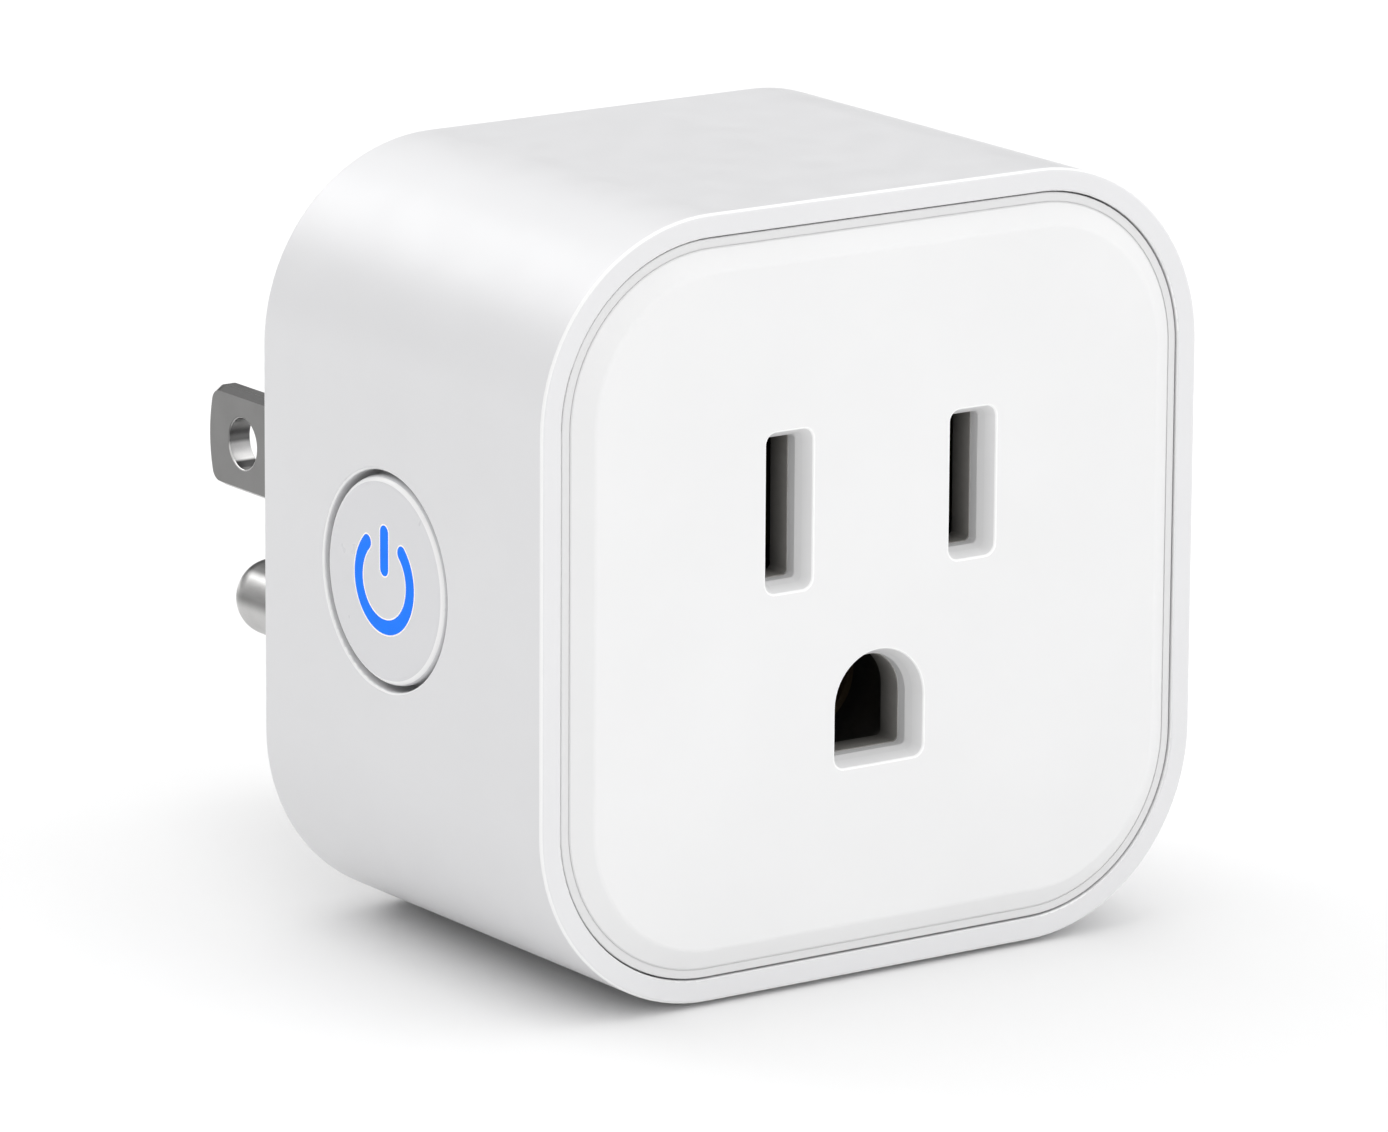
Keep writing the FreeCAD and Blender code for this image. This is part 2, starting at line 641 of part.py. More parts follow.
def make_front_panel():
    """Outlet face: flat flange, fine groove, broad bevel up to the proud face, three openings."""
    body = new_body("front_panel")
    flange_width = BODY_WIDTH - RIM_WIDTH * 2 - PANEL_GAP * 2
    flange_radius = CORNER_RADIUS - RIM_WIDTH - PANEL_GAP
    bevel_inset = FLANGE_BAND + LINE_GROOVE
    flange = new_sketch(body, "flange", "XZ_Plane", -PANEL_BACK)
    rounded_square(flange, flange_width, flange_radius)
    disc = pad(body, flange, PANEL_BACK - FLANGE_FACE, "flange_pad")
    round_edges(body, disc, lies_at("Y", FLANGE_FACE), 0.08, "flange_round")
    groove_depth = 0.06
    groove = new_sketch(body, "line_groove", "XZ_Plane", -FLANGE_FACE - groove_depth)
    rounded_square(groove, flange_width - FLANGE_BAND * 2, flange_radius - FLANGE_BAND)
    rounded_square(groove, flange_width - bevel_inset * 2, flange_radius - bevel_inset)
    pocket(body, groove, groove_depth, "line_groove_cut")

    foot = new_sketch(body, "bevel_foot", "XZ_Plane", -FLANGE_FACE)
    rounded_square(foot, flange_width - bevel_inset * 2, flange_radius - bevel_inset)
    top = new_sketch(body, "bevel_top", "XZ_Plane", -PANEL_FACE)
    face_inset = bevel_inset + BEVEL_WIDTH
    rounded_square(top, flange_width - face_inset * 2, flange_radius - face_inset)
    bevel = loft(body, "PartDesign::AdditiveLoft", foot, top, "bevel")
    round_edges(body, bevel, lies_at("Y", PANEL_FACE), BEVEL_ROUND, "bevel_round")

    for label, x, height in slot_rows():
        mouth = new_sketch(body, f"{label}_mouth", "XZ_Plane", -PANEL_FACE)
        draw_slot(mouth, x, SLOT_MOUTH, height, MOUTH_CORNER)
        throat = new_sketch(body, f"{label}_throat", "XZ_Plane", -THROAT_START)
        draw_slot(throat, x, SLOT_MOUTH - MOUTH_DRAFT * 2, height - MOUTH_DRAFT * 2, THROAT_CORNER)
        loft(body, "PartDesign::SubtractiveLoft", mouth, throat, f"{label}_draft")
    mouth = new_sketch(body, "ground_mouth", "XZ_Plane", -PANEL_FACE)
    arch(mouth, 0, GROUND_LEVEL, GROUND_RADIUS, GROUND_FLOOR, MOUTH_CORNER)
    throat = new_sketch(body, "ground_throat", "XZ_Plane", -THROAT_START)
    arch(throat, 0, GROUND_LEVEL, GROUND_RADIUS - MOUTH_DRAFT, GROUND_FLOOR - MOUTH_DRAFT, THROAT_CORNER)
    last = loft(body, "PartDesign::SubtractiveLoft", mouth, throat, "ground_draft")

    def is_mouth_edge(edge):
        inner = max(abs(edge.BoundBox.XMin), abs(edge.BoundBox.XMax)) < SLOT_SPACING.number
        return inner and lies_at("Y", PANEL_FACE)(edge)
    round_edges(body, last, is_mouth_edge, MOUTH_ROUND, "mouth_round")

    throats = new_sketch(body, "throats", "XZ_Plane", -PANEL_BACK)
    draw_throats(throats)
    pocket(body, throats, PANEL_BACK - THROAT_START, "throats_cut")
    screw_holes = new_sketch(body, "carrier_screw_holes", "XZ_Plane", -PANEL_BACK)
    for z in carrier_screw_levels():
        circle(screw_holes, 0, z, SMALL_PILOT)
    pocket(body, screw_holes, SMALL_BITE + 0.1, "carrier_screw_holes_cut")
    node("front_panel", body)


def make_button():
    """Round cap with a collar that catches behind the wall, a post for the switch, and its inlay."""
    cap_radius = BUTTON_HOLE / 2 - BUTTON_GAP
    disc_thickness = 1.2
    inlay_depth = 1.0
    skirt_radius = 5.0
    collar_radius = BUTTON_HOLE / 2 + 0.75
    collar_front = -INNER_HALF + 0.05
    collar_thickness = 0.8
    post_radius = 1.2
    post_gap = 0.1

    def draw_symbol(sketch):
        half = SYMBOL_STROKE / 2
        outer = (SYMBOL_RADIUS + half).number
        inner = (SYMBOL_RADIUS - half).number
        middle = SYMBOL_RADIUS.number
        gap_x = SYMBOL_GAP.number
        lean = math.degrees(math.asin(gap_x / middle))
        end_y = math.sqrt(middle ** 2 - gap_x ** 2)
        button_y = BUTTON_Y.number
        centre = flat(button_y, 0)
        first = chain(sketch, [
            arc(centre, outer, 90 + lean, 450 - lean),
            arc(flat(button_y + gap_x, end_y), half.number, 90 - lean, 270 - lean),
            arc(centre, inner, 90 + lean, 450 - lean),
            arc(flat(button_y - gap_x, end_y), half.number, 270 + lean, 450 + lean),
        ], backward=(2,))
        for edge, size in ((0, SYMBOL_RADIUS + half), (2, SYMBOL_RADIUS - half)):
            hold_x(sketch, first + edge, 3, BUTTON_Y)
            hold_y(sketch, first + edge, 3, 0)
            constrain(sketch, "Radius", first + edge, size=size)
        hold_x(sketch, first + 1, 3, BUTTON_Y + SYMBOL_GAP)
        hold_x(sketch, first + 3, 3, BUTTON_Y - SYMBOL_GAP)
        upright_slot(sketch, BUTTON_Y, SYMBOL_BAR_LOW, SYMBOL_BAR_HIGH, half)

    cap = new_body("button_cap")
    face = new_sketch(cap, "cap_face", "YZ_Plane", -HALF_BODY)
    circle(face, BUTTON_Y, 0, cap_radius)
    disc = pad(cap, face, disc_thickness, "cap_disc")
    round_edges(cap, disc, lies_at("X", -HALF_BODY), BUTTON_ROUND, "cap_round")
    skirt = new_sketch(cap, "cap_skirt", "YZ_Plane", -HALF_BODY + disc_thickness)
    circle(skirt, BUTTON_Y, 0, cap_radius)
    circle(skirt, BUTTON_Y, 0, skirt_radius)
    pad(cap, skirt, collar_front + HALF_BODY - disc_thickness, "cap_skirt_pad")
    collar = new_sketch(cap, "cap_collar", "YZ_Plane", collar_front)
    circle(collar, BUTTON_Y, 0, collar_radius)
    circle(collar, BUTTON_Y, 0, skirt_radius)
    pad(cap, collar, collar_thickness, "cap_collar_pad")
    post = new_sketch(cap, "cap_post", "YZ_Plane", -HALF_BODY + disc_thickness)
    circle(post, BUTTON_Y, 0, post_radius)
    pad(cap, post, PLUNGER_TIP - post_gap + HALF_BODY - disc_thickness, "cap_post_pad")
    recess = new_sketch(cap, "symbol_recess", "YZ_Plane", -HALF_BODY)
    draw_symbol(recess)
    pocket(cap, recess, inlay_depth, "symbol_recess_cut")
    node("button_cap", cap)

    symbol = new_body("power_symbol")
    outline = new_sketch(symbol, "symbol_outline", "YZ_Plane", -HALF_BODY)
    draw_symbol(outline)
    pad(symbol, outline, inlay_depth, "symbol_pad")
    node("power_symbol", symbol)


# ---------------------------------------------------------------- outlet block and contacts

def carrier_screw_levels():
    """Heights of the two screws, low and high, in the ears below and above the block."""
    ear_reach = 2.4
    return CARRIER_FLOOR - ear_reach, CARRIER_TOP + ear_reach


def board_screw_centres():
    return ((-BOARD_SCREW_X, BOARD_SCREW_Z), (BOARD_SCREW_X, BOARD_SCREW_Z))


def draw_block_outline(sketch):
    rounded_rectangle(sketch, -CARRIER_HALF_WIDTH, CARRIER_HALF_WIDTH, CARRIER_FLOOR, CARRIER_TOP,
                      BLOCK_CORNER)


def make_contact_carrier():
    """Block behind the outlet face, with a chamber for each contact and two screw ears."""
    body = new_body("contact_carrier")
    block = new_sketch(body, "carrier_block", "XZ_Plane", -BASE_FRONT)
    draw_block_outline(block)
    pad(body, block, BASE_FRONT - PANEL_BACK, "carrier_block_pad")
    ears = new_sketch(body, "carrier_ears", "XZ_Plane", -PANEL_BACK - EAR_THICKNESS)
    ear_half = 2.6
    low, high = carrier_screw_levels()
    rounded_rectangle(ears, -ear_half, ear_half, low - ear_half, high + ear_half, 2.4)
    pad(body, ears, EAR_THICKNESS, "carrier_ears_pad")
    chambers = new_sketch(body, "contact_chambers", "XZ_Plane", -BASE_FRONT)
    chamber_half_height = 4.7
    ground_chamber_radius = 4.0
    for _, x, _ in slot_rows():
        rounded_rectangle(chambers, x - CHAMBER_HALF, x + CHAMBER_HALF,
                          SLOT_LEVEL - chamber_half_height, SLOT_LEVEL + chamber_half_height, 0.4)
    circle(chambers, 0, GROUND_LEVEL, ground_chamber_radius)
    pocket(body, chambers, BASE_FRONT - PANEL_BACK - FRONT_WALL, "contact_chambers_cut")
    throats = new_sketch(body, "carrier_throats", "XZ_Plane", -PANEL_BACK - FRONT_WALL)
    draw_throats(throats, 0.05)
    pocket(body, throats, FRONT_WALL, "carrier_throats_cut")
    holes = new_sketch(body, "carrier_holes", "XZ_Plane", -PANEL_BACK - EAR_THICKNESS)
    for z in carrier_screw_levels():
        circle(holes, 0, z, SMALL_PASSAGE)
    pocket(body, holes, EAR_THICKNESS, "carrier_holes_cut")
    pilots = new_sketch(body, "carrier_pilots", "XZ_Plane", -BASE_FRONT)
    for x, z in board_screw_centres():
        circle(pilots, x, z, SCREW_PILOT)
    pocket(body, pilots, SCREW_BITE + 1, "carrier_pilots_cut")
    node("contact_carrier", body)


def draw_tail_openings(sketch, half_x, half_z):
    """Openings for the blade contacts' tails, the ground contact's tail and the ground pin's end."""
    for _, x, _ in slot_rows():
        rounded_rectangle(sketch, x - half_x, x + half_x, SLOT_LEVEL - half_z, SLOT_LEVEL + half_z, 0.15)
    rounded_rectangle(sketch, -half_z, half_z, GROUND_TAIL_Z - half_x, GROUND_TAIL_Z + half_x, 0.15)
    circle(sketch, 0, GROUND_LEVEL, GROUND_PIN_DIAMETER / 2 + 0.22)
    for x, z in board_screw_centres():
        circle(sketch, x, z, SCREW_PASSAGE)


def make_contact_base():
    """Lid that closes the chambers from behind."""
    body = new_body("contact_base")
    plate = new_sketch(body, "base_plate", "XZ_Plane", -BOARD_FRONT)
    draw_block_outline(plate)
    pad(body, plate, CONTACT_BASE_THICKNESS, "base_plate_pad")
    openings = new_sketch(body, "base_openings", "XZ_Plane", -BOARD_FRONT)
    draw_tail_openings(openings, TAIL_HALF_THICK + 0.1, TAIL_HALF_WIDE + 0.1)
    pocket(body, openings, CONTACT_BASE_THICKNESS, "base_openings_cut")
    node("contact_base", body)


def make_blade_contact(name, x, tail_end):
    """A strip folded into a fork: two springy legs that pinch a blade, and a tail to the rear."""
    strip = STRIP.number
    spine, pinch, flare = 1.9, 0.6, 1.6
    back = BASE_FRONT.number - 0.1
    entry_y = (PANEL_BACK + FRONT_WALL).number + 0.6
    pinch_y = entry_y + (back - entry_y) / 4

    def leg(side):
        return [FreeCAD.Vector(side * flare, entry_y, 0), FreeCAD.Vector(side * pinch, pinch_y, 0),
                FreeCAD.Vector(side * spine, back, 0)]

    path = Part.makePolygon(leg(-1) + leg(1)[::-1])
    profile = path.makeOffset2D(strip, fill=True, openResult=True)
    width = BLADE_WIDTH.number - 0.4
    fork = profile.extrude(FreeCAD.Vector(0, 0, width))
    fork.translate(FreeCAD.Vector(0, 0, -width / 2))
    tail_start = fork.BoundBox.YMax - strip / 2
    tail = Part.makeBox(TAIL_HALF_THICK.number * 2, tail_end.number - tail_start, TAIL_HALF_WIDE.number * 2,
                        FreeCAD.Vector(-TAIL_HALF_THICK.number, tail_start, -TAIL_HALF_WIDE.number))
    contact = doc.addObject("Part::Feature", name)
    contact.Shape = fork.fuse(tail).removeSplitter()
    bind(contact, "Placement.Base.x", x)
    bind(contact, "Placement.Base.z", SLOT_LEVEL)
    node(name, contact)


def make_ground_contact():
    """A slit sleeve with a flared mouth that grips a round pin, and a tail to the rear."""
    back = BASE_FRONT - 0.2
    mouth = PANEL_BACK + 5.4
    grip, strip = 2.2, 0.45
    flare, flare_length = 0.7, 1.6
    step_depth = 1.2
    body = new_body("ground_sleeve")
    profile = new_sketch(body, "sleeve_profile", "XY_Plane", 0)
    polygon(profile, [(grip, back), (grip, mouth + flare_length), (grip + flare, mouth),
                      (grip + flare + strip, mouth), (grip + strip, mouth + flare_length + strip),
                      (grip + strip, back)])
    turned = add_feature(body, "PartDesign::Revolution", "sleeve_turn", profile)
    turned.ReferenceAxis = (profile, ["V_Axis"])
    turned.Angle = 300
    turned.Midplane = True
    bind(body, "Placement.Base.z", GROUND_LEVEL)
    body.Placement.Rotation = FreeCAD.Rotation(FreeCAD.Vector(0, 1, 0), 90)
    tail = box("ground_tail", about(0, TAIL_HALF_WIDE), (back - step_depth, STRAP_REAR),
               about(GROUND_TAIL_Z, TAIL_HALF_THICK))
    step = box("ground_tail_step", about(0, TAIL_HALF_WIDE), (back - step_depth, back),
               (GROUND_TAIL_Z, GROUND_LEVEL - grip - strip / 2))
    node("ground_contact", fuse("ground_contact_joined", body, tail, step))


# ---------------------------------------------------------------- plug

def make_blade(name, x, tail):
    """Flat blade with a bowed, thinned tip, a round hole and a shoulder inside the cover."""
    tip_bow = 9.0
    tip_zone = BLADE_LENGTH.number - 1.5
    half = BLADE_WIDTH / 2
    thickness = about(x, BLADE_THICKNESS / 2)
    bar = box(f"{name}_bar", thickness, (COVER_FRONT, BLADE_LENGTH), about(PLUG_LEVEL, half))
    bow = rod(f"{name}_bow", "x", (BLADE_LENGTH - tip_bow, PLUG_LEVEL), tip_bow, about(x, BLADE_THICKNESS))
    behind = box(f"{name}_behind", about(x, BLADE_THICKNESS), (COVER_FRONT - 1, BLADE_LENGTH - tip_bow),
                 about(PLUG_LEVEL, BLADE_WIDTH))
    bowed = doc.addObject("Part::MultiCommon", f"{name}_bowed")
    bowed.Shapes = [bar, fuse(f"{name}_reach", bow, behind)]

    def is_tip_corner(edge):
        across = edge.BoundBox.XLength > BLADE_THICKNESS.number - 0.01
        return across and edge.BoundBox.YMax > tip_zone

    def is_tip_rim(edge):
        in_face = edge.BoundBox.XLength < 0.01
        return in_face and edge.BoundBox.YMax > tip_zone and edge.BoundBox.YMin > tip_zone - 0.7

    rounded = soften(f"{name}_corners", bowed, is_tip_corner, 1.1)
    doc.recompute()
    thinned = doc.addObject("Part::Chamfer", f"{name}_thinned")
    thinned.Base = rounded
    thinned.Edges = [(number, 0.3, 0.5) for number, edge in enumerate(rounded.Shape.Edges, 1)
                     if is_tip_rim(edge)]
    hole_y = BLADE_LENGTH - BLADE_HOLE_BACK
    drill = rod(f"{name}_drill", "x", (hole_y, PLUG_LEVEL), BLADE_HOLE / 2, about(x, BLADE_THICKNESS))
    shoulder = box(f"{name}_shoulder", thickness, (STRAP_REAR, COVER_FRONT), about(PLUG_LEVEL, half + 1.4))
    drilled = cut(f"{name}_drilled", thinned, drill)

    def is_hole_rim(edge):
        if not isinstance(edge.Curve, Part.Circle) or edge.BoundBox.XLength > 0.01:
            return False
        return abs(edge.Curve.Radius - BLADE_HOLE.number / 2) < 1e-6

    eased = soften(f"{name}_hole_eased", drilled, is_hole_rim, 0.12)
    node(name, fuse(f"{name}_joined", eased, shoulder, tail))


def make_plug():
    """Two blades and a round ground pin, each with a shoulder inside the cover and a tail."""
    neutral_tail = box("neutral_blade_tail", about(NEUTRAL_BLADE_X, BLADE_THICKNESS / 2),
                       (STRAP_FRONT - 0.6, STRAP_REAR), about(PLUG_LEVEL, NEUTRAL_TAIL_HALF))
    make_blade("neutral_blade", NEUTRAL_BLADE_X, neutral_tail)
    line_tail = box("line_blade_tail", about(LINE_BLADE_X, BLADE_THICKNESS / 2),
                    (BOARD_FRONT + 0.1, STRAP_REAR), about(PLUG_LEVEL, LINE_TAIL_HALF))
    make_blade("line_blade", LINE_BLADE_X, line_tail)

    centre = (PLUG_X, PLUG_GROUND_LEVEL)
    radius = GROUND_PIN_DIAMETER / 2
    root_end = 0.0
    dome_round = 2.1
    collar_radius = 3.6
    root = rod("ground_pin_root", "y", centre, radius + PIN_ROOT_STEP, (COVER_FRONT, root_end))
    shaft = rod("ground_pin_shaft", "y", centre, radius, (root_end, GROUND_PIN_LENGTH))
    domed = soften("ground_pin_dome", shaft, lies_at("Y", GROUND_PIN_LENGTH), dome_round)
    collar = rod("ground_pin_collar", "y", centre, collar_radius, (STRAP_REAR, COVER_FRONT))
    tail = rod("ground_pin_tail", "y", centre, PIN_TAIL_RADIUS, (STRAP_FRONT - 0.5, STRAP_REAR))
    node("ground_pin", fuse("ground_pin_joined", domed, root, collar, tail))


def make_straps():
    """Copper straps that join the plug's neutral and ground to the outlet's contacts."""
    span = (STRAP_FRONT, STRAP_REAR)
    fit = 0.02
    half_strap = 1.8
    across = box("neutral_strap_across", (NEUTRAL_BLADE_X - half_strap, -HALF_SPACING + 1.3), span,
                 about(SLOT_LEVEL, 2.2))
    down = box("neutral_strap_down", about(NEUTRAL_BLADE_X, half_strap), span,
               (PLUG_LEVEL - half_strap, SLOT_LEVEL))
    blade_eye = box("neutral_blade_eye", about(NEUTRAL_BLADE_X, BLADE_THICKNESS / 2 + fit), span,
                    about(PLUG_LEVEL, NEUTRAL_TAIL_HALF + fit))
    contact_eye = box("neutral_contact_eye", about(-HALF_SPACING, TAIL_HALF_THICK + fit), span,
                      about(SLOT_LEVEL, TAIL_HALF_WIDE + fit))
    plate = fuse("neutral_strap_plate", across, down)
    node("neutral_busbar", cut("neutral_strap", plate, blade_eye, contact_eye))

    bar = box("ground_strap_bar", (PLUG_X - 2.2, TAIL_HALF_WIDE + 1.2), span, about(PLUG_GROUND_LEVEL, 2.0))
    pin_eye = rod("ground_pin_eye", "y", (PLUG_X, PLUG_GROUND_LEVEL), PIN_TAIL_RADIUS + fit, span)
    tail_eye = box("ground_tail_eye", about(0, TAIL_HALF_WIDE + fit), span,
                   about(GROUND_TAIL_Z, TAIL_HALF_THICK + fit))
    node("ground_strap", cut("ground_strap_holed", bar, pin_eye, tail_eye))


# ---------------------------------------------------------------- screws

def make_screw(name, x, z, head_span, shank_front, head_radius, shank_radius):
    """Pan-head screw along Y, its cross recess in the rear face of the head."""
    head = rod(f"{name}_head", "y", (x, z), head_radius, head_span)
    rounded = soften(f"{name}_pan", head, lies_at("Y", head_span[1]), 0.35)
    shank = rod(f"{name}_shank", "y", (x, z), shank_radius, (shank_front, head_span[0]))
    reach = head_radius * 0.62
    cross_half = 0.22
    recess = (as_size(head_span[1]) - 0.6, as_size(head_span[1]) + 0.1)
    upright = box(f"{name}_cross_up", about(x, cross_half), recess, about(z, reach))
    level = box(f"{name}_cross_level", about(x, reach), recess, about(z, cross_half))
    return cut(name, fuse(f"{name}_blank", rounded, shank), upright, level)


def make_screws():
    """Four screws hold the cover, two hold the board to the contact block, two hold the block."""
    cover_head = (-COVER_HEAD_SEAT, -COVER_HEAD_SEAT + 1.2)
    board_head = (BOARD_BACK, BOARD_BACK + 1.1)
    ear_rear = PANEL_BACK + EAR_THICKNESS
    block_head = (ear_rear, ear_rear + 1)
    small = (SMALL_HEAD, SMALL_SHANK)
    large = (SCREW_HEAD, SCREW_SHANK)
    block_centres = [(0, z) for z in carrier_screw_levels()]
    for name, centres, head, end, radii in (
            ("cover_screws", cover_screw_centres(), cover_head, COVER_FRONT - SCREW_BITE, large),
            ("board_screws", board_screw_centres(), board_head, BASE_FRONT - SCREW_BITE, large),
            ("carrier_screws", block_centres, block_head, PANEL_BACK - SMALL_BITE, small)):
        screws = [make_screw(f"{name}_{number}", x, z, head, end, *radii)
                  for number, (x, z) in enumerate(centres, 1)]
        node(name, group(f"{name}_set", screws))


# ---------------------------------------------------------------- circuit boards

def make_main_board():
    """Board across the whole shell, notched round the screw bosses and open round the contacts."""
    body = new_body("main_board")
    plate = new_sketch(body, "board_plate", "XZ_Plane", BOARD_REAR)
    rounded_square(plate, BODY_WIDTH - WALL * 2 - BOARD_MARGIN * 2, CORNER_RADIUS - WALL - BOARD_MARGIN)
    pad(body, plate, BOARD_THICKNESS, "board_plate_pad")
    notches = new_sketch(body, "board_notches", "XZ_Plane", BOARD_REAR)
    corner = (SCREW_PLACE - 3.2, HALF_BODY)
    for x_low, x_high in (corner, (-corner[1], -corner[0])):
        for z_low, z_high in (corner, (-corner[1], -corner[0])):
            rounded_rectangle(notches, x_low, x_high, z_low, z_high, 1)
    button_half = 6.0
    rounded_rectangle(notches, -HALF_BODY, -INNER_HALF + 2, -button_half, button_half, 1)
    pocket(body, notches, BOARD_THICKNESS, "board_notches_cut")
    openings = new_sketch(body, "board_openings", "XZ_Plane", BOARD_REAR)
    draw_tail_openings(openings, TAIL_HALF_THICK + 0.1, TAIL_HALF_WIDE + 0.1)
    half_thick = BLADE_THICKNESS / 2 + 0.1
    half_tall = LINE_TAIL_HALF + 0.1
    rounded_rectangle(openings, LINE_BLADE_X - half_thick, LINE_BLADE_X + half_thick,
                      PLUG_LEVEL - half_tall, PLUG_LEVEL + half_tall, 0.15)
    for x, z in relay_pin_centres():
        circle(openings, x, z, RELAY_PIN + 0.25)
    pocket(body, openings, BOARD_THICKNESS, "board_openings_cut")
    node("main_board", body)


def make_wifi_module():
    """Radio board standing on the main board above the carrier, with its metal can and pins."""
    board_low, board_high = WIFI_LEVEL, WIFI_LEVEL + 0.8
    front = BOARD_FRONT - 16.2
    node("wifi_board", box("wifi_plate", about(0, 7.5), (front, BOARD_FRONT - 1.2), (board_low, board_high)))
    can_half, can_skin = 6.0, 0.25
    can_front, can_rear, can_high = front + 5, BOARD_FRONT - 2.4, board_high + 2.2

    def is_can_edge(edge):
        return abs(edge.BoundBox.ZMin - can_high.number) < 1e-6 or edge.BoundBox.ZLength > 1

    shell = box("wifi_can_shell", about(0, can_half), (can_front, can_rear), (board_high, can_high))
    rounded = soften("wifi_can_round", shell, is_can_edge, 0.35)
    hollow = box("wifi_can_hollow", about(0, can_half - can_skin),
                 (can_front + can_skin, can_rear - can_skin), (board_high - 1, can_high - can_skin))
    node("wifi_shield", cut("wifi_can", rounded, hollow))
    pins = [box(f"wifi_pin_{number}", about(HEADER_PITCH * number, HEADER_HALF),
                (BOARD_FRONT - 5, BOARD_FRONT), (board_low - HEADER_HALF * 2, board_low))
            for number in range(-3, 4)]
    node("wifi_header", group("wifi_pin_row", pins))


def make_power_supply():
    """Mains filter and low-voltage supply on the main board, all standing off its front face."""
    front = BOARD_FRONT
    can_radius, can_height = 3.15, 11
    cans = []
    for number, x in enumerate((-9.4, -2.6), 1):
        can = rod(f"capacitor_can_{number}", "y", (x, LOWER_BAY), can_radius, (front - can_height, front))
        cans.append(soften(f"capacitor_crown_{number}", can, lies_at("Y", front - can_height), 0.4))
    node("bulk_capacitors", group("bulk_capacitor_pair", cans))

    drum_centre = (4.4, LOWER_BAY)
    core_radius, winding_radius, flange_radius = 2.2, 2.9, 3.1
    drum_height, flange = 9, 0.8
    wound = (front - drum_height + flange, front - flange)
    core = rod("inductor_core", "y", drum_centre, core_radius, wound)
    foot = rod("inductor_foot", "y", drum_centre, flange_radius, (wound[1], front))
    crown = rod("inductor_crown", "y", drum_centre, flange_radius, (front - drum_height, wound[0]))
    node("power_inductor", fuse("inductor_drum", core, foot, crown))
    node("inductor_coil", ring("inductor_winding", "y", drum_centre, winding_radius, core_radius, wound))

    film_height = 11
    film = box("film_block", (8.4, 14.6), (front - film_height, front), about(LOWER_BAY, 2.5))
    node("film_capacitor", soften("film_round", film,
                                  lambda edge: edge.BoundBox.YMin < (front - film_height + 0.1).number, 0.5))
    disc = rod("varistor_disc", "x", (front - 5.2, UPPER_BAY), 4.2, (10.2, 13.2))
    node("varistor", soften("varistor_round", disc, lambda edge: edge.BoundBox.XLength < 0.01, 0.9))
    tube = rod("fuse_body", "y", (-12, UPPER_BAY), 1.7, (front - 9, front - 0.5))
    node("fuse", soften("fuse_round", tube, lambda edge: edge.BoundBox.YLength < 0.01, 0.5))

    rear = BOARD_BACK
    node("bridge_rectifier", box("rectifier_block", about(11, 2.4), (rear, rear + 1.7), about(9.5, 2)))
    node("power_regulator", box("regulator_block", about(12, 2.5), (rear, rear + 1.5), about(-9, 2)))


# ---------------------------------------------------------------- button electronics

def make_button_board():
    """Upright board behind the button, with the tact switch, two lamps and their light guide."""
    centre = (BUTTON_Y, 0)
    rear = SWITCH_BOARD_FACE + 1
    node("button_board", box("button_plate", (SWITCH_BOARD_FACE, rear), (BUTTON_Y - 7.4, BOARD_FRONT - 0.1),
                             about(0, 8.5)))
    pins = [box(f"button_pin_{number}", (rear, rear + HEADER_HALF * 2), (BOARD_FRONT - 3, BOARD_FRONT),
                about(HEADER_PITCH * number, HEADER_HALF)) for number in range(-2, 3)]
    node("button_header", group("button_pin_row", pins))
    switch_half, plate_half = 3.0, 2.9
    plunger_radius = 1.6
    well_radius = plunger_radius + 0.15
    block = box("switch_block", (SWITCH_TOP, SWITCH_BOARD_FACE), about(BUTTON_Y, switch_half),
                about(0, switch_half))
    well = rod("switch_well", "x", centre, well_radius, (SWITCH_TOP, PLUNGER_REAR + BUTTON_TRAVEL + 0.2))
    node("tact_switch_base", cut("switch_base", block, well))
    plate = box("switch_plate", (SWITCH_TOP - 0.2, SWITCH_TOP), about(BUTTON_Y, plate_half),
                about(0, plate_half))
    eye = rod("switch_eye", "x", centre, well_radius, (SWITCH_TOP - 0.3, SWITCH_TOP + 0.1))
    node("tact_switch_cover", cut("switch_cover", plate, eye))
    plunger = rod("switch_plunger", "x", centre, plunger_radius, (PLUNGER_TIP, PLUNGER_REAR))
    node("tact_switch_plunger", plunger)
    lamp_height = 0.6
    guide_outer, guide_inner = 5.0, 4.35
    lamps = [box(f"lamp_{number}", (SWITCH_BOARD_FACE - lamp_height, SWITCH_BOARD_FACE),
                 about(BUTTON_Y, 0.8), about((guide_outer - 0.2) * number, 0.4)) for number in (-1, 1)]
    node("indicator_leds", group("lamp_pair", lamps))
    guide_span = (PLUNGER_TIP - 0.3, SWITCH_BOARD_FACE - lamp_height - 0.1)
    node("light_guide", ring("guide_ring", "x", centre, guide_outer, guide_inner, guide_span))


# ---------------------------------------------------------------- load relay

def relay_pin_centres():
    return ((RELAY_X - 2.8, 4.5), (RELAY_X + 2.8, 4.5), (RELAY_X, -7.2), (RELAY_X, 8.2))


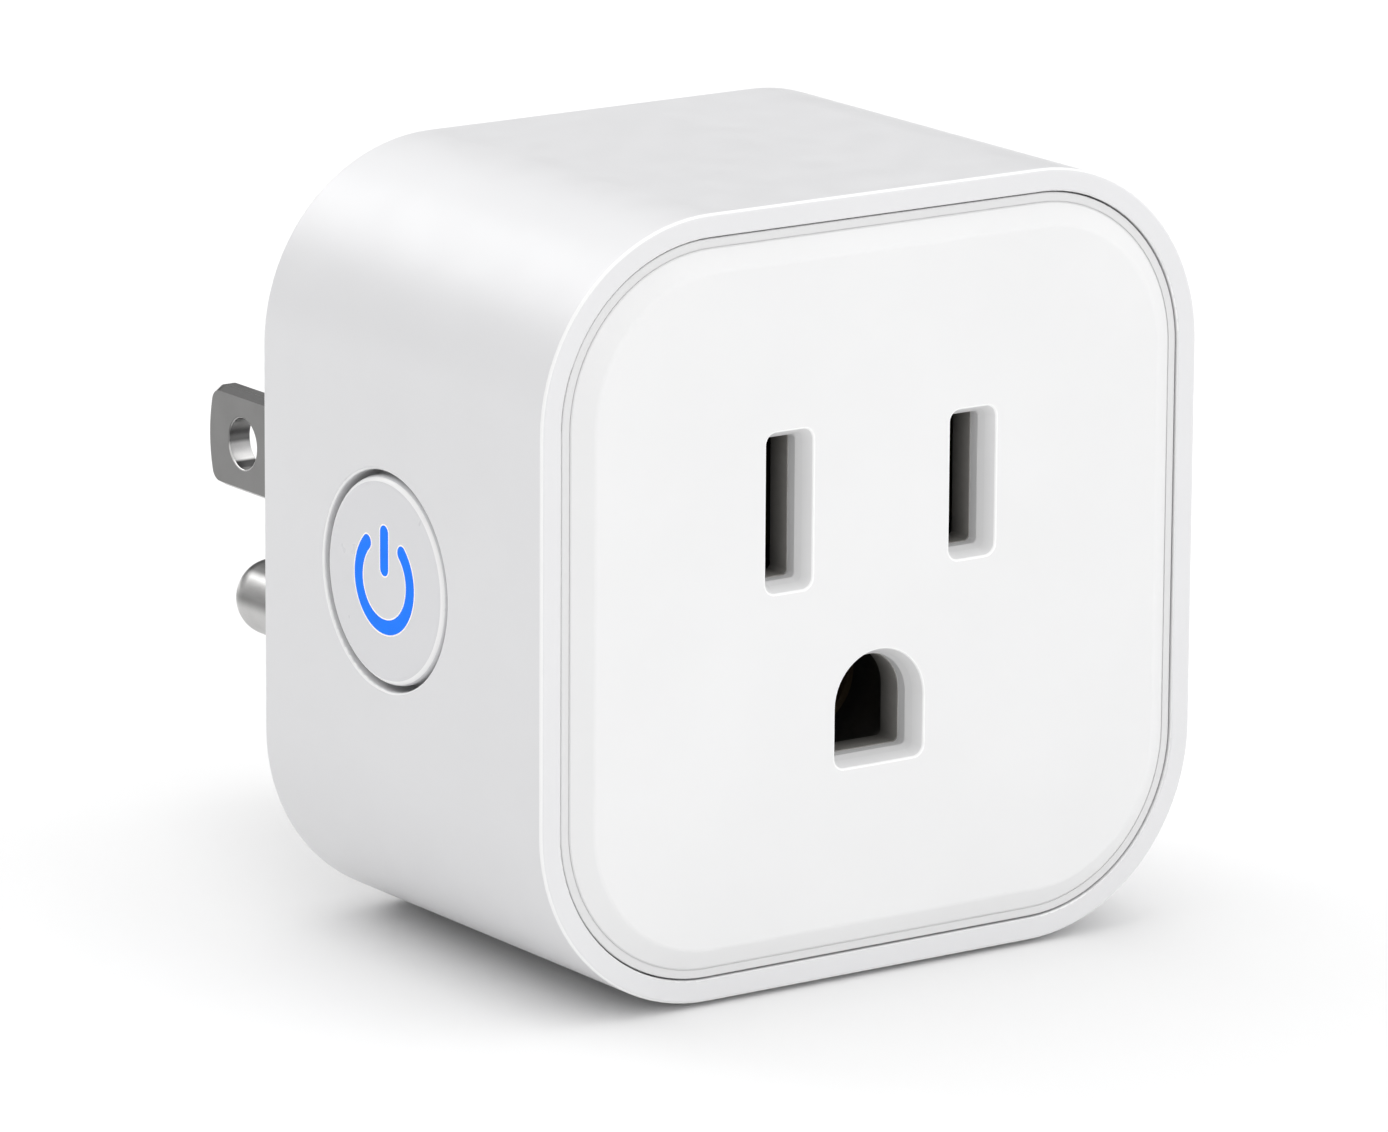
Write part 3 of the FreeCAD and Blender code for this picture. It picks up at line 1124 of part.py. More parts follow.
def make_relay():
    """Clapper relay standing on the board: coil, yoke, hinged armature and one pair of contacts.

    Heights are counted from the board's front face towards the user.
    """
    def above(height):
        return BOARD_FRONT - height

    def rise(low, high):
        return above(high), above(low)

    wide, tall = RELAY_HALF_WIDTH, RELAY_HALF_HEIGHT
    skin, side_gap = 0.6, 0.05
    base_top, can_top = 1.4, 15.4
    inner_wide, inner_tall = wide - skin, tall - skin

    def is_can_edge(edge):
        return edge.BoundBox.YMin < above(can_top).number + 0.01 or edge.BoundBox.YLength > 1

    node("relay_base", box("relay_foot", about(RELAY_X, inner_wide - side_gap), rise(0, base_top),
                           about(0, inner_tall - side_gap)))
    shell = box("relay_shell", about(RELAY_X, wide), rise(0.1, can_top), about(0, tall))
    rounded = soften("relay_shell_round", shell, is_can_edge, 0.5)
    hollow = box("relay_hollow", about(RELAY_X, inner_wide), rise(0, can_top - skin), about(0, inner_tall))
    node("relay_cover", cut("relay_can", rounded, hollow))
    pins = [rod(f"relay_pin_{number}", "y", centre, RELAY_PIN, (BOARD_FRONT, BOARD_BACK + 0.9))
            for number, centre in enumerate(relay_pin_centres(), 1)]
    node("relay_pins", group("relay_pin_set", pins))

    core_z, core_top = 1.2, 11.5
    core_centre = (RELAY_X, core_z)
    yoke_half, yoke_foot_top, hinge_z = 3.2, 2.4, 7.6
    hinge_centre = (above(core_top), hinge_z)
    pivot_radius, pivot_fit = 0.35, 0.04
    foot = box("yoke_foot", about(RELAY_X, yoke_half), rise(base_top, yoke_foot_top),
               (-yoke_half, hinge_z))
    leg = box("yoke_leg", about(RELAY_X, yoke_half), rise(yoke_foot_top, core_top - 0.05),
              (hinge_z - 1, hinge_z))
    pivot = rod("yoke_pivot", "x", hinge_centre, pivot_radius, about(RELAY_X, yoke_half))
    node("relay_yoke", fuse("relay_yoke_plate", foot, leg, pivot))
    core_radius, pole_radius, pole_start = 1.5, 2.6, core_top - 0.6
    core = rod("core_rod", "y", core_centre, core_radius, rise(yoke_foot_top, pole_start))
    pole = rod("core_pole", "y", core_centre, pole_radius, rise(pole_start, core_top))
    node("relay_core", fuse("relay_core_rivet", core, pole))
    spool_radius, winding_radius = 2.2, 3.5
    flange, lower_flange, upper_flange = 0.7, 2.5, 10.0
    wound = rise(lower_flange + flange, upper_flange)
    flanges = [box(f"bobbin_flange_{number}", about(RELAY_X, winding_radius), rise(low, low + flange),
                   (-3.0, 5.4)) for number, low in enumerate((lower_flange, upper_flange), 1)]
    tube = rod("bobbin_tube", "y", core_centre, spool_radius, wound)
    bore = rod("bobbin_bore", "y", core_centre, core_radius + 0.05, rise(yoke_foot_top, core_top - 0.7))
    node("relay_bobbin", cut("relay_bobbin_spool", fuse("bobbin_blank", tube, *flanges), bore))
    node("relay_winding", ring("relay_copper", "y", core_centre, winding_radius, spool_radius, wound))

    contact_z, strip_z, rivet_radius = -7.0, -8.2, 1.1
    fixed_top = core_top - 0.3
    post = box("fixed_post", about(RELAY_X, 1.5), rise(base_top, fixed_top), (-8.0, -7.6))
    shelf = box("fixed_shelf", about(RELAY_X, 1.5), rise(fixed_top - 0.4, fixed_top), (-8.0, -6.0))
    rivet = rod("fixed_rivet", "y", (RELAY_X, contact_z), rivet_radius, rise(fixed_top, core_top + 0.35))
    node("relay_fixed_contact", fuse("relay_fixed_strip", post, shelf, rivet))

    hinge = FreeCAD.Vector(RELAY_X.number, above(core_top).number, hinge_z)
    turn = FreeCAD.Rotation(FreeCAD.Vector(1, 0, 0), -RELAY_OPEN_ANGLE.number)
    opening = FreeCAD.Placement(FreeCAD.Vector(), turn, hinge)
    plate_top = core_top + 1
    plate = box("armature_plate", about(RELAY_X, 2.9), rise(core_top, plate_top), (-yoke_half, hinge_z))
    notch = rod("armature_notch", "x", hinge_centre, pivot_radius + pivot_fit, about(RELAY_X, yoke_half))
    strip = box("moving_strip", about(RELAY_X, 1.6), rise(plate_top, plate_top + 0.25), (strip_z, 5.5))
    tip = rod("moving_rivet", "y", (RELAY_X, contact_z), rivet_radius, rise(core_top + 0.4, plate_top))
    for name, thing in (("relay_armature", cut("armature_solid", plate, notch)),
                        ("relay_moving_contact", fuse("moving_contact_solid", strip, tip))):
        thing.Placement = opening
        node(name, thing)


# ---------------------------------------------------------------- output

def check_and_write():
    """Stop on any failed feature or bad shape, then write one STEP file per piece."""
    doc.recompute()
    failed = [thing.Name for thing in doc.Objects if {"Invalid", "Error"} & set(thing.State)]
    if failed:
        raise RuntimeError(f"failed: {failed}")
    for name, thing in nodes:
        if thing.Shape.isNull() or not thing.Shape.isValid() or thing.Shape.Volume <= 0:
            raise RuntimeError(f"bad shape: {name}")
    os.makedirs("parts", exist_ok=True)
    for name, thing in nodes:
        thing.Shape.exportStep(f"parts/{name}.step")
        print(f"{name}: {len(thing.Shape.Solids)} solid(s), {thing.Shape.Volume:.1f} mm3")


make_housing_sleeve()
make_front_panel()
make_rear_cover()
make_contact_carrier()
make_contact_base()
make_blade_contact("neutral_contact", -HALF_SPACING, STRAP_REAR)
make_blade_contact("line_contact", HALF_SPACING, BOARD_BACK + 0.6)
make_ground_contact()
make_plug()
make_straps()
make_main_board()
make_relay()
make_wifi_module()
make_power_supply()
make_button_board()
make_button()
make_screws()
check_and_write()
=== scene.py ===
"""Looks of a cube smart plug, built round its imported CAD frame. Lengths are metres.

The row frame's origin is the middle of the pad on the wall plate: +Y points into the wall,
-Y to the user, +Z up, and the push button is on the -X side.
"""

import json
import math

import bmesh
import bpy
from mathutils import Matrix, Vector


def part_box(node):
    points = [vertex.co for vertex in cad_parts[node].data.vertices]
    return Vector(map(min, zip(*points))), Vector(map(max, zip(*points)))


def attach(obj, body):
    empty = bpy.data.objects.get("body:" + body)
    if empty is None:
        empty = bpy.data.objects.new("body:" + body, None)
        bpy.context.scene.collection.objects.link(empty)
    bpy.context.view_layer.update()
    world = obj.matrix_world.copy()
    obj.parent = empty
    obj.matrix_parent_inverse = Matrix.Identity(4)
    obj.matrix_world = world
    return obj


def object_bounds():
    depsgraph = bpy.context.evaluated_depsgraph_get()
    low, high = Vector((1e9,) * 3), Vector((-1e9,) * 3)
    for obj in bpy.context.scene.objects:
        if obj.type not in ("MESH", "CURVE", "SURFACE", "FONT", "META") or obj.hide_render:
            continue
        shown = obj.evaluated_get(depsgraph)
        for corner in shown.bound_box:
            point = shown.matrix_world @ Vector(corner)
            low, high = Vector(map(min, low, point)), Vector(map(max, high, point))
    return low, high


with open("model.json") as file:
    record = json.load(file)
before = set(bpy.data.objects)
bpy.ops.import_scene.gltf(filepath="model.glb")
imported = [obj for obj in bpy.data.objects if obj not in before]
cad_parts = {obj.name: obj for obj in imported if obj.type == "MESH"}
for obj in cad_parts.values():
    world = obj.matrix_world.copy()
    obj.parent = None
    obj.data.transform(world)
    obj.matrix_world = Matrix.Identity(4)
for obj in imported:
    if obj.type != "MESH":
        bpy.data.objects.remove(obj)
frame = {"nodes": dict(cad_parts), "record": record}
cad_low, cad_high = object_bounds()

MM = 0.001
MICRON = 0.001 * MM
# How far the button's collar reaches behind the shell, past the edge of the hole.
COLLAR_LAP = 0.75 * MM
# Tones of plastic and plating: painted highlights on the plastic's rounded edges and lips, the plating's
# own tint, plating where it is worn, and a painted highlight on plating.
PAINTED_EDGE_HIGHLIGHT_WHITE = (0.9, 0.9, 0.9)
PAINTED_LIP_HIGHLIGHT_WHITE = (0.97, 0.97, 0.97)
PLATING_TINT = (1.0, 0.993, 0.982)
WORN_PLATING = (0.2, 0.198, 0.194)
PAINTED_HIGHLIGHT_PLATING = (0.9, 0.89, 0.88)
SLOT_OF_NODE = {part["node"]: part["material_slot"] for part in frame["record"]["subparts"]}


# ---------------------------------------------------------------- shader helpers

class Shader:
    """A procedural material round one Principled BSDF, patterned in the row frame."""

    def __init__(self, name, roughness, metallic=0.0, ior=1.5, **sockets):
        self.material = bpy.data.materials.new(name)
        self.material.use_nodes = True
        self.tree = self.material.node_tree
        self.surface = self.tree.nodes["Principled BSDF"]
        self.set(Roughness=roughness, Metallic=metallic, IOR=ior, **sockets)
        self.position = self.tree.nodes.new("ShaderNodeTexCoord").outputs["Object"]

    def set(self, **sockets):
        """Set the surface's own sockets; an underscore stands for a space."""
        for name, value in sockets.items():
            self.surface.inputs[name.replace("_", " ")].default_value = value

    def link(self, output, target):
        self.tree.links.new(output, target)

    def add(self, kind, **values):
        """A node with its attributes set."""
        made = self.tree.nodes.new(kind)
        for name, value in values.items():
            setattr(made, name, value)
        return made

    def stretched(self, scale, turn=(0.0, 0.0, 0.0)):
        """The position scaled and turned, to draw a pattern out or lay it in another plane."""
        mapping = self.add("ShaderNodeMapping")
        mapping.inputs["Scale"].default_value = scale
        mapping.inputs["Rotation"].default_value = turn
        self.link(self.position, mapping.inputs["Vector"])
        return mapping.outputs["Vector"]

    def noise(self, size, detail=3.0, rough=0.5, vector=None):
        """Soft noise whose blotches are about size across."""
        made = self.add("ShaderNodeTexNoise")
        made.inputs["Scale"].default_value = 1.0 / size
        made.inputs["Detail"].default_value = detail
        made.inputs["Roughness"].default_value = rough
        self.link(vector or self.position, made.inputs["Vector"])
        return made.outputs["Fac"]

    def cells(self, size):
        """Distance to scattered points that lie about size apart."""
        made = self.add("ShaderNodeTexVoronoi")
        made.inputs["Scale"].default_value = 1.0 / size
        self.link(self.position, made.inputs["Vector"])
        return made.outputs["Distance"]

    def spread(self, value, low, high, start=0.3, end=0.7):
        """Map a value's start to end onto low to high."""
        made = self.add("ShaderNodeMapRange")
        for name, number in (("From Min", start), ("From Max", end), ("To Min", low), ("To Max", high)):
            made.inputs[name].default_value = number
        self.link(value, made.inputs["Value"])
        return made.outputs["Result"]

    def math(self, operation, first, second=None):
        """One arithmetic step on outputs or numbers."""
        made = self.add("ShaderNodeMath", operation=operation)
        for place, value in enumerate((first, second)):
            if isinstance(value, (int, float)):
                made.inputs[place].default_value = value
            elif value is not None:
                self.link(value, made.inputs[place])
        return made.outputs["Value"]

    def between(self, value, low, high):
        """1 where a value lies between two levels; 0 elsewhere."""
        above = self.math("GREATER_THAN", value, low)
        below = self.math("LESS_THAN", value, high)
        return self.math("MULTIPLY", above, below)

    def ripple(self, value, pitch):
        """A sine wave along a value, with one period in each pitch."""
        return self.math("SINE", self.math("MULTIPLY", value, 2 * math.pi / pitch))

    def blend_colors(self, factor, first, second):
        """Mix two colours, each a tuple or an output, by a varying factor."""
        made = self.add("ShaderNodeMix", data_type="RGBA")
        self.link(factor, made.inputs["Factor"])
        for socket, value in (("A", first), ("B", second)):
            target = next(i for i in made.inputs if i.name == socket and i.type == "RGBA")
            if isinstance(value, tuple):
                target.default_value = (*value, 1.0)
            else:
                self.link(value, target)
        return next(o for o in made.outputs if o.type == "RGBA")

    def color(self, output):
        self.link(output, self.surface.inputs["Base Color"])

    def glowing_color(self, output):
        """Give the surface and the light it sends out the same colour."""
        self.color(output)
        self.link(output, self.surface.inputs["Emission Color"])

    def roughness(self, output):
        self.link(output, self.surface.inputs["Roughness"])

    def bump(self, height, depth, below=None):
        """Raise the surface by up to depth where height is 1, over an earlier bump."""
        made = self.add("ShaderNodeBump")
        made.inputs["Strength"].default_value = 1.0
        made.inputs["Distance"].default_value = depth
        self.link(height, made.inputs["Height"])
        if below is not None:
            self.link(below, made.inputs["Normal"])
        self.link(made.outputs["Normal"], self.surface.inputs["Normal"])
        return made.outputs["Normal"]

    def split(self, vector):
        """A vector's X, Y and Z."""
        made = self.add("ShaderNodeSeparateXYZ")
        self.link(vector, made.inputs["Vector"])
        return made.outputs["X"], made.outputs["Y"], made.outputs["Z"]


def shade(color, factor):
    """A colour made darker or lighter."""
    return tuple(channel * factor for channel in color)


def new_object(name, data):
    """An object in the scene for a mesh, curve, light or camera."""
    made = bpy.data.objects.new(name, data)
    bpy.context.scene.collection.objects.link(made)
    return made


# ---------------------------------------------------------------- materials

def depth_behind(shader, start, end):
    """How far a surface lies behind the outlet face: 0 up to start along Y, and 1 from end on."""
    _, y, _ = shader.split(shader.position)
    return shader.spread(y, 0.0, 1.0, start, end)


def button_ring(shader, inner, outer):
    """1 on the button's side between two distances outwards from the rim of its hole; 0 elsewhere."""
    low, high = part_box("button_cap")
    hole_radius = (high.z - low.z) / 2 - COLLAR_LAP
    x, y, z = shader.split(shader.position)
    across = shader.math("SUBTRACT", y, (low.y + high.y) / 2)
    up = shader.math("SUBTRACT", z, (low.z + high.z) / 2)
    squares = shader.math("ADD", shader.math("MULTIPLY", across, across), shader.math("MULTIPLY", up, up))
    distance = shader.math("SUBTRACT", shader.math("SQRT", squares), hole_radius)
    return shader.math("MULTIPLY", shader.between(distance, inner, outer), shader.math("LESS_THAN", x, 0.0))


def rim_edge(shader):
    """1 on the rounded edges of the shell's front rim; 0 elsewhere."""
    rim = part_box("housing_sleeve")[0].y
    edge_start, edge_end = 0.03 * MM, 0.2 * MM
    _, y, _ = shader.split(shader.position)
    return shader.between(y, rim + edge_start, rim + edge_end)


def flow_marks(shader, color):
    """The colour, slightly darker in broad soft marks."""
    mark_tone = 0.98
    marks = shader.spread(shader.noise(9 * MM, detail=2.0), 0.0, 1.0)
    return shader.blend_colors(marks, shade(color, mark_tone), color)


def scuffed(shader, middle):
    """Roughness that swings a little round a middle value, as handling leaves it."""
    swing = 0.03
    return shader.spread(shader.noise(2.5 * MM), middle - swing, middle + swing)


def mould_texture(shader, grain_depth):
    """Fine spark-eroded grain over slow waves."""
    waves = shader.bump(shader.noise(6 * MM, detail=1.0), 4 * MICRON)
    shader.bump(shader.noise(0.14 * MM, detail=2.0, rough=0.6), grain_depth, below=waves)


def moulded_plastic(name, color, roughness, grain_depth, highlight_ring=None, rim=False):
    """Spark-eroded plastic with faint flow marks, and a painted highlight on the rounded edge of the
    button, of its hole or of the rim.
    """
    shader = Shader(name, roughness)
    surface = flow_marks(shader, color)
    if highlight_ring:
        # Painted highlight: a paler circle on the rounded edge of the button or of its hole.
        surface = shader.blend_colors(button_ring(shader, *highlight_ring), surface, PAINTED_EDGE_HIGHLIGHT_WHITE)
    if rim:
        # Painted highlight: a paler line on the rim's rounded edges.
        surface = shader.blend_colors(rim_edge(shader), surface, PAINTED_EDGE_HIGHLIGHT_WHITE)
    shader.color(surface)
    shader.roughness(scuffed(shader, roughness))
    mould_texture(shader, grain_depth)
    return shader.material


def panel_plastic(name, color, roughness, grain_depth):
    """Outlet face: smooth; the sunk band and the openings' walls are rougher and coloured darker as painted
    shade, and a painted highlight lines the edges round the openings.
    """
    shader = Shader(name, roughness)
    panel_low, panel_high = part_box("front_panel")
    face = panel_low.y
    band_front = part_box("housing_sleeve")[0].y + 0.1 * MM
    # The openings lie within these shares of the panel's half width and half height.
    middle_width, middle_height = 0.5 * panel_high.x, 0.7 * panel_high.z
    lip_start, lip_end = face + 0.004 * MM, face + 0.12 * MM
    wall_start, wall_end = face + 0.1 * MM, face + 0.9 * MM
    recess_shade_tone, sunk_roughening = 0.87, 0.15
    x, y, z = shader.split(shader.position)
    inside = shader.math("MULTIPLY", shader.math("LESS_THAN", shader.math("ABSOLUTE", x), middle_width),
                         shader.math("LESS_THAN", shader.math("ABSOLUTE", z), middle_height))
    opening = shader.math("MULTIPLY", inside, depth_behind(shader, wall_start, wall_end))
    sunk = shader.math("MAXIMUM", opening, shader.math("GREATER_THAN", y, band_front))
    # Painted shade: the sunk band and the openings' walls are coloured darker.
    painted_shade_in_recesses = shader.blend_colors(sunk, flow_marks(shader, color), shade(color, recess_shade_tone))
    # Painted highlight: a thin pale line on the lips of the openings.
    painted_lip_highlight = shader.math("MULTIPLY", inside, shader.between(y, lip_start, lip_end))
    shader.color(shader.blend_colors(painted_lip_highlight, painted_shade_in_recesses, PAINTED_LIP_HIGHLIGHT_WHITE))
    dull = shader.spread(sunk, roughness, roughness + sunk_roughening, 0.0, 1.0)
    shader.roughness(shader.math("ADD", dull, scuffed(shader, 0.0)))
    mould_texture(shader, grain_depth)
    return shader.material


def throat_plastic(name, light, dark):
    """Contact block: its colour is painted lighter just behind the outlet face, a painted light for the
    daylight that reaches its wall there, and painted darker inwards as painted shade.
    """
    shader = Shader(name, 0.5)
    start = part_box("contact_carrier")[0].y
    painted_light_reach = 2.2 * MM
    depth = depth_behind(shader, start, start + painted_light_reach)
    speckle = shader.spread(shader.noise(0.4 * MM), 0.9, 1.0)
    # Painted light and shade: the lighter tone at the front, the darker tone deeper in.
    painted_light_to_shade = shader.blend_colors(depth, light, dark)
    shader.color(shader.blend_colors(speckle, dark, painted_light_to_shade))
    shader.roughness(shader.spread(shader.noise(0.8 * MM), 0.45, 0.6))
    shader.bump(shader.noise(0.2 * MM, detail=2.0), 2 * MICRON)
    return shader.material


def lit_inlay(name, color, glow):
    """Blue translucent inlay lit from behind, in slightly uneven streaks."""
    shader = Shader(name, 0.35, Emission_Strength=glow, Specular_IOR_Level=0.1)
    streaks = shader.noise(1.2 * MM, detail=2.0)
    brightness = shader.spread(streaks, 0.0, 1.0)
    shader.glowing_color(shader.blend_colors(brightness, shade(color, 0.9), color))
    shader.roughness(shader.spread(streaks, 0.3, 0.4))
    shader.bump(shader.noise(0.12 * MM, detail=2.0), 0.6 * MICRON)
    return shader.material


def drawn_lines(shader, along):
    """Fine lines drawn out along one axis."""
    scale = [0.04 if axis == along else 1.0 for axis in "xyz"]
    return shader.noise(0.05 * MM, detail=4.0, rough=0.65, vector=shader.stretched(scale))


def handling_marks(shader):
    """Soft blotches that fingers leave on metal."""
    return shader.noise(1.6 * MM, detail=4.0, rough=0.6)


def smudged(shader, marks, roughness):
    """Metal's roughness, smoother or duller along its handling marks."""
    return shader.spread(marks, roughness - 0.05, roughness + 0.06)


def brushed_metal(name, color, roughness, along):
    """Plated metal with fine lines along one axis and faint handling marks."""
    shader = Shader(name, roughness, metallic=1.0)
    lines = drawn_lines(shader, along)
    marks = handling_marks(shader)
    tone = shader.math("ADD", shader.math("MULTIPLY", lines, 0.5), shader.math("MULTIPLY", marks, 0.5))
    shader.color(shader.blend_colors(shader.spread(tone, 0.0, 1.0), shade(color, 0.86), color))
    shader.roughness(smudged(shader, marks, roughness))
    shader.bump(lines, 1.5 * MICRON)
    return shader.material


# Pairs of how far a surface leans, from -1 facing down to 1 facing up, and the plating's tone there:
# painted reflections of the room, set by which way the surface faces.
BLADE_PAINTED_REFLECTIONS = ((-1.0, 0.4), (-0.6, 0.5), (-0.25, 0.12), (-0.05, 0.22), (0.05, 0.22),
               (0.25, 0.85), (0.75, 0.95), (0.85, 0.05), (0.98, 0.05), (1.0, 0.28))
PIN_PAINTED_REFLECTIONS = ((-0.92, 0.42), (-0.2, 0.54), (0.12, 0.24), (0.45, 0.9), (0.62, 0.6), (0.82, 0.08))


def metal_with_painted_reflections(name, reflection_tones, roughness, edge_level=None):
    """Plated prong: painted reflections in tone steps that follow how far the surface leans, and a painted
    highlight on the sides above edge_level.
    """
    shader = Shader(name, roughness, metallic=1.0)
    _, _, lean_up = shader.split(shader.add("ShaderNodeTexCoord").outputs["Normal"])
    # Painted reflections: the plating's colour follows the way the surface faces.
    painted_reflection_bands = shader.add("ShaderNodeValToRGB")
    painted_reflection_bands.color_ramp.interpolation = "EASE"
    shader.link(shader.spread(lean_up, 0.0, 1.0, -1.0, 1.0), painted_reflection_bands.inputs["Fac"])
    points = painted_reflection_bands.color_ramp.elements
    while len(points) < len(reflection_tones):
        points.new(0.5)
    for point, (lean, tone) in zip(points, reflection_tones):
        point.position = (lean + 1) / 2
        point.color = (*shade(PLATING_TINT, tone), 1.0)
    lines = drawn_lines(shader, "y")
    marks = handling_marks(shader)
    most_wear = 0.14
    worn = shader.spread(shader.math("ADD", lines, marks), 0.0, most_wear, 0.7, 1.3)
    plating = shader.blend_colors(worn, painted_reflection_bands.outputs["Color"], WORN_PLATING)
    # Painted highlight: a paler strip on the upright sides just under the top edge.
    if edge_level is not None:
        _, _, height = shader.split(shader.position)
        high = shader.math("GREATER_THAN", height, edge_level)
        upright = shader.math("LESS_THAN", lean_up, 0.5)
        plating = shader.blend_colors(shader.math("MULTIPLY", high, upright), plating, PAINTED_HIGHLIGHT_PLATING)
    shader.color(plating)
    shader.roughness(smudged(shader, marks, roughness))
    shader.bump(lines, 0.8 * MICRON)
    return shader.material


def stamped_metal(name, color, roughness):
    """Bare stamped strip: rolled grain and a darker tarnish in blotches."""
    shader = Shader(name, roughness, metallic=1.0)
    tarnish = shader.noise(1.1 * MM, detail=5.0, rough=0.6)
    grain = shader.noise(0.09 * MM, detail=3.0, vector=shader.stretched((1.0, 0.15, 1.0)))
    shader.color(shader.blend_colors(shader.spread(tarnish, 0.0, 1.0), shade(color, 0.72), color))
    shader.roughness(shader.spread(tarnish, roughness + 0.08, roughness - 0.04))
    shader.bump(grain, 1.8 * MICRON)
    return shader.material


def solder_mask(name, color, trace_color):
    """Board: lacquer over a woven glass base, with raised copper tracks showing through."""
    shader = Shader(name, 0.38)
    thread_pitch = 0.35 * MM
    track_length = 2.4 * MM
    x, _, z = shader.split(shader.position)
    weave = shader.math("MULTIPLY", shader.ripple(x, thread_pitch), shader.ripple(z, thread_pitch))
    tracks = shader.add("ShaderNodeTexBrick", offset=0.37, squash=1.6)
    tracks.inputs["Scale"].default_value = 1.0 / track_length
    tracks.inputs["Mortar Size"].default_value = 0.12
    tracks.inputs["Mortar Smooth"].default_value = 0.3
    laid_upright = shader.stretched((1.0, 1.0, 1.0), (math.radians(90), 0.0, 0.0))
    shader.link(laid_upright, tracks.inputs["Vector"])
    track = tracks.outputs["Fac"]
    shader.color(shader.blend_colors(track, color, trace_color))
    shader.roughness(shader.spread(shader.noise(1.5 * MM), 0.3, 0.46))
    base = shader.bump(weave, 1.2 * MICRON)
    shader.bump(track, 12 * MICRON, below=base)
    return shader.material


def wound_wire(name, color, pitch):
    """Enamelled copper wire wound in close turns, each a round ridge, coloured darker between the turns as
    painted shade.
    """
    shader = Shader(name, 0.28, metallic=1.0, Coat_Weight=0.6, Coat_Roughness=0.15)
    ridge_height = pitch * 0.3
    _, y, _ = shader.split(shader.position)
    ridge = shader.spread(shader.ripple(y, pitch), 0.0, 1.0, -1.0, 1.0)
    # Painted shade: darker colour in the grooves between the turns.
    shader.color(shader.blend_colors(ridge, shade(color, 0.55), color))
    shader.roughness(shader.spread(shader.noise(0.8 * MM), 0.24, 0.36))
    shader.bump(ridge, ridge_height)
    return shader.material


def solder_metal(name, color):
    """Bright tin with the slightly wavy, frosted skin that solder sets with."""
    shader = Shader(name, 0.3, metallic=1.0)
    frost = shader.noise(0.25 * MM, detail=5.0, rough=0.7)
    shader.color(shader.blend_colors(shader.spread(frost, 0.0, 1.0), shade(color, 0.8), color))
    shader.roughness(shader.spread(frost, 0.2, 0.42))
    shader.bump(frost, 8 * MICRON)
    return shader.material


def dipped_coating(name, color):
    """Epoxy-dipped component: glossy, with slow waves and small dimples."""
    shader = Shader(name, 0.22, Coat_Weight=0.4, Coat_Roughness=0.1)
    waves = shader.noise(1.8 * MM, detail=2.0)
    shader.color(shader.blend_colors(shader.spread(waves, 0.0, 1.0), shade(color, 0.82), color))
    shader.roughness(shader.spread(waves, 0.18, 0.3))
    lower = shader.bump(waves, 40 * MICRON)
    shader.bump(shader.cells(0.6 * MM), 3 * MICRON, below=lower)
    return shader.material


def shrink_sleeve(name, color, stripe_color, stripe_level):
    """Capacitor sleeve: smooth film with one plain polarity stripe, above a level."""
    shader = Shader(name, 0.3, Coat_Weight=0.3, Coat_Roughness=0.2)
    _, _, z = shader.split(shader.position)
    stripe = shader.spread(z, 0.0, 1.0, stripe_level, stripe_level + 0.1 * MM)
    film = shader.noise(0.5 * MM, detail=3.0)
    shader.color(shader.blend_colors(stripe, color, stripe_color))
    shader.roughness(shader.spread(film, 0.24, 0.38))
    shader.bump(film, 5 * MICRON)
    return shader.material


def sintered(name, color):
    """Pressed ferrite: matte and granular."""
    shader = Shader(name, 0.75)
    grit = shader.cells(0.12 * MM)
    speckle = shader.spread(grit, 0.0, 1.0, 0.0, 0.8)
    shader.color(shader.blend_colors(speckle, shade(color, 0.7), shade(color, 1.3)))
    shader.roughness(shader.spread(shader.noise(0.5 * MM), 0.65, 0.85))
    shader.bump(grit, 10 * MICRON)
    return shader.material


def clear_resin(name, color, roughness):
    """Clear moulded light guide or lamp lens."""
    shader = Shader(name, roughness, ior=1.49, Transmission_Weight=0.85)
    swirl = shader.noise(0.9 * MM, detail=3.0)
    shader.color(shader.blend_colors(shader.spread(swirl, 0.0, 1.0), shade(color, 0.92), color))
    shader.roughness(shader.spread(swirl, roughness, roughness + 0.12))
    shader.bump(swirl, 6 * MICRON)
    return shader.material


def lit_lip(name):
    """Pale edge of the light guide, faintly lit from inside."""
    shader = Shader(name, 0.3, Emission_Strength=0.22)
    haze = shader.spread(shader.noise(0.5 * MM), 0.0, 1.0)
    shader.glowing_color(shader.blend_colors(haze, (0.86, 0.8, 0.76), (0.92, 0.88, 0.86)))
    shader.roughness(shader.spread(haze, 0.25, 0.35, 0.0, 1.0))
    shader.bump(haze, MICRON)
    return shader.material


def floor_paper(name):
    """Matte studio paper with slow, faint cloudiness."""
    shader = Shader(name, 0.9, Specular_IOR_Level=0.0)
    fibre = shader.spread(shader.noise(30 * MM, detail=4.0), 0.0, 1.0)
    shader.color(shader.blend_colors(fibre, (0.875, 0.875, 0.875), (0.885, 0.885, 0.885)))
    return shader.material


def blade_edge_level():
    """Height just under the blade's top edge, found near its tip, where no shoulder stands higher."""
    tip_length = 8 * MM
    edge_height = 0.16 * MM
    corners = [vert.co for vert in frame["nodes"]["neutral_blade"].data.vertices]
    tip = max(corner.y for corner in corners)
    return max(corner.z for corner in corners if corner.y > tip - tip_length) - edge_height


def capacitor_stripe_level():
    """Height at which the stripe along the tops of the capacitors starts."""
    stripe_rise = 5.45 * MM
    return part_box("bulk_capacitors")[0].z + stripe_rise


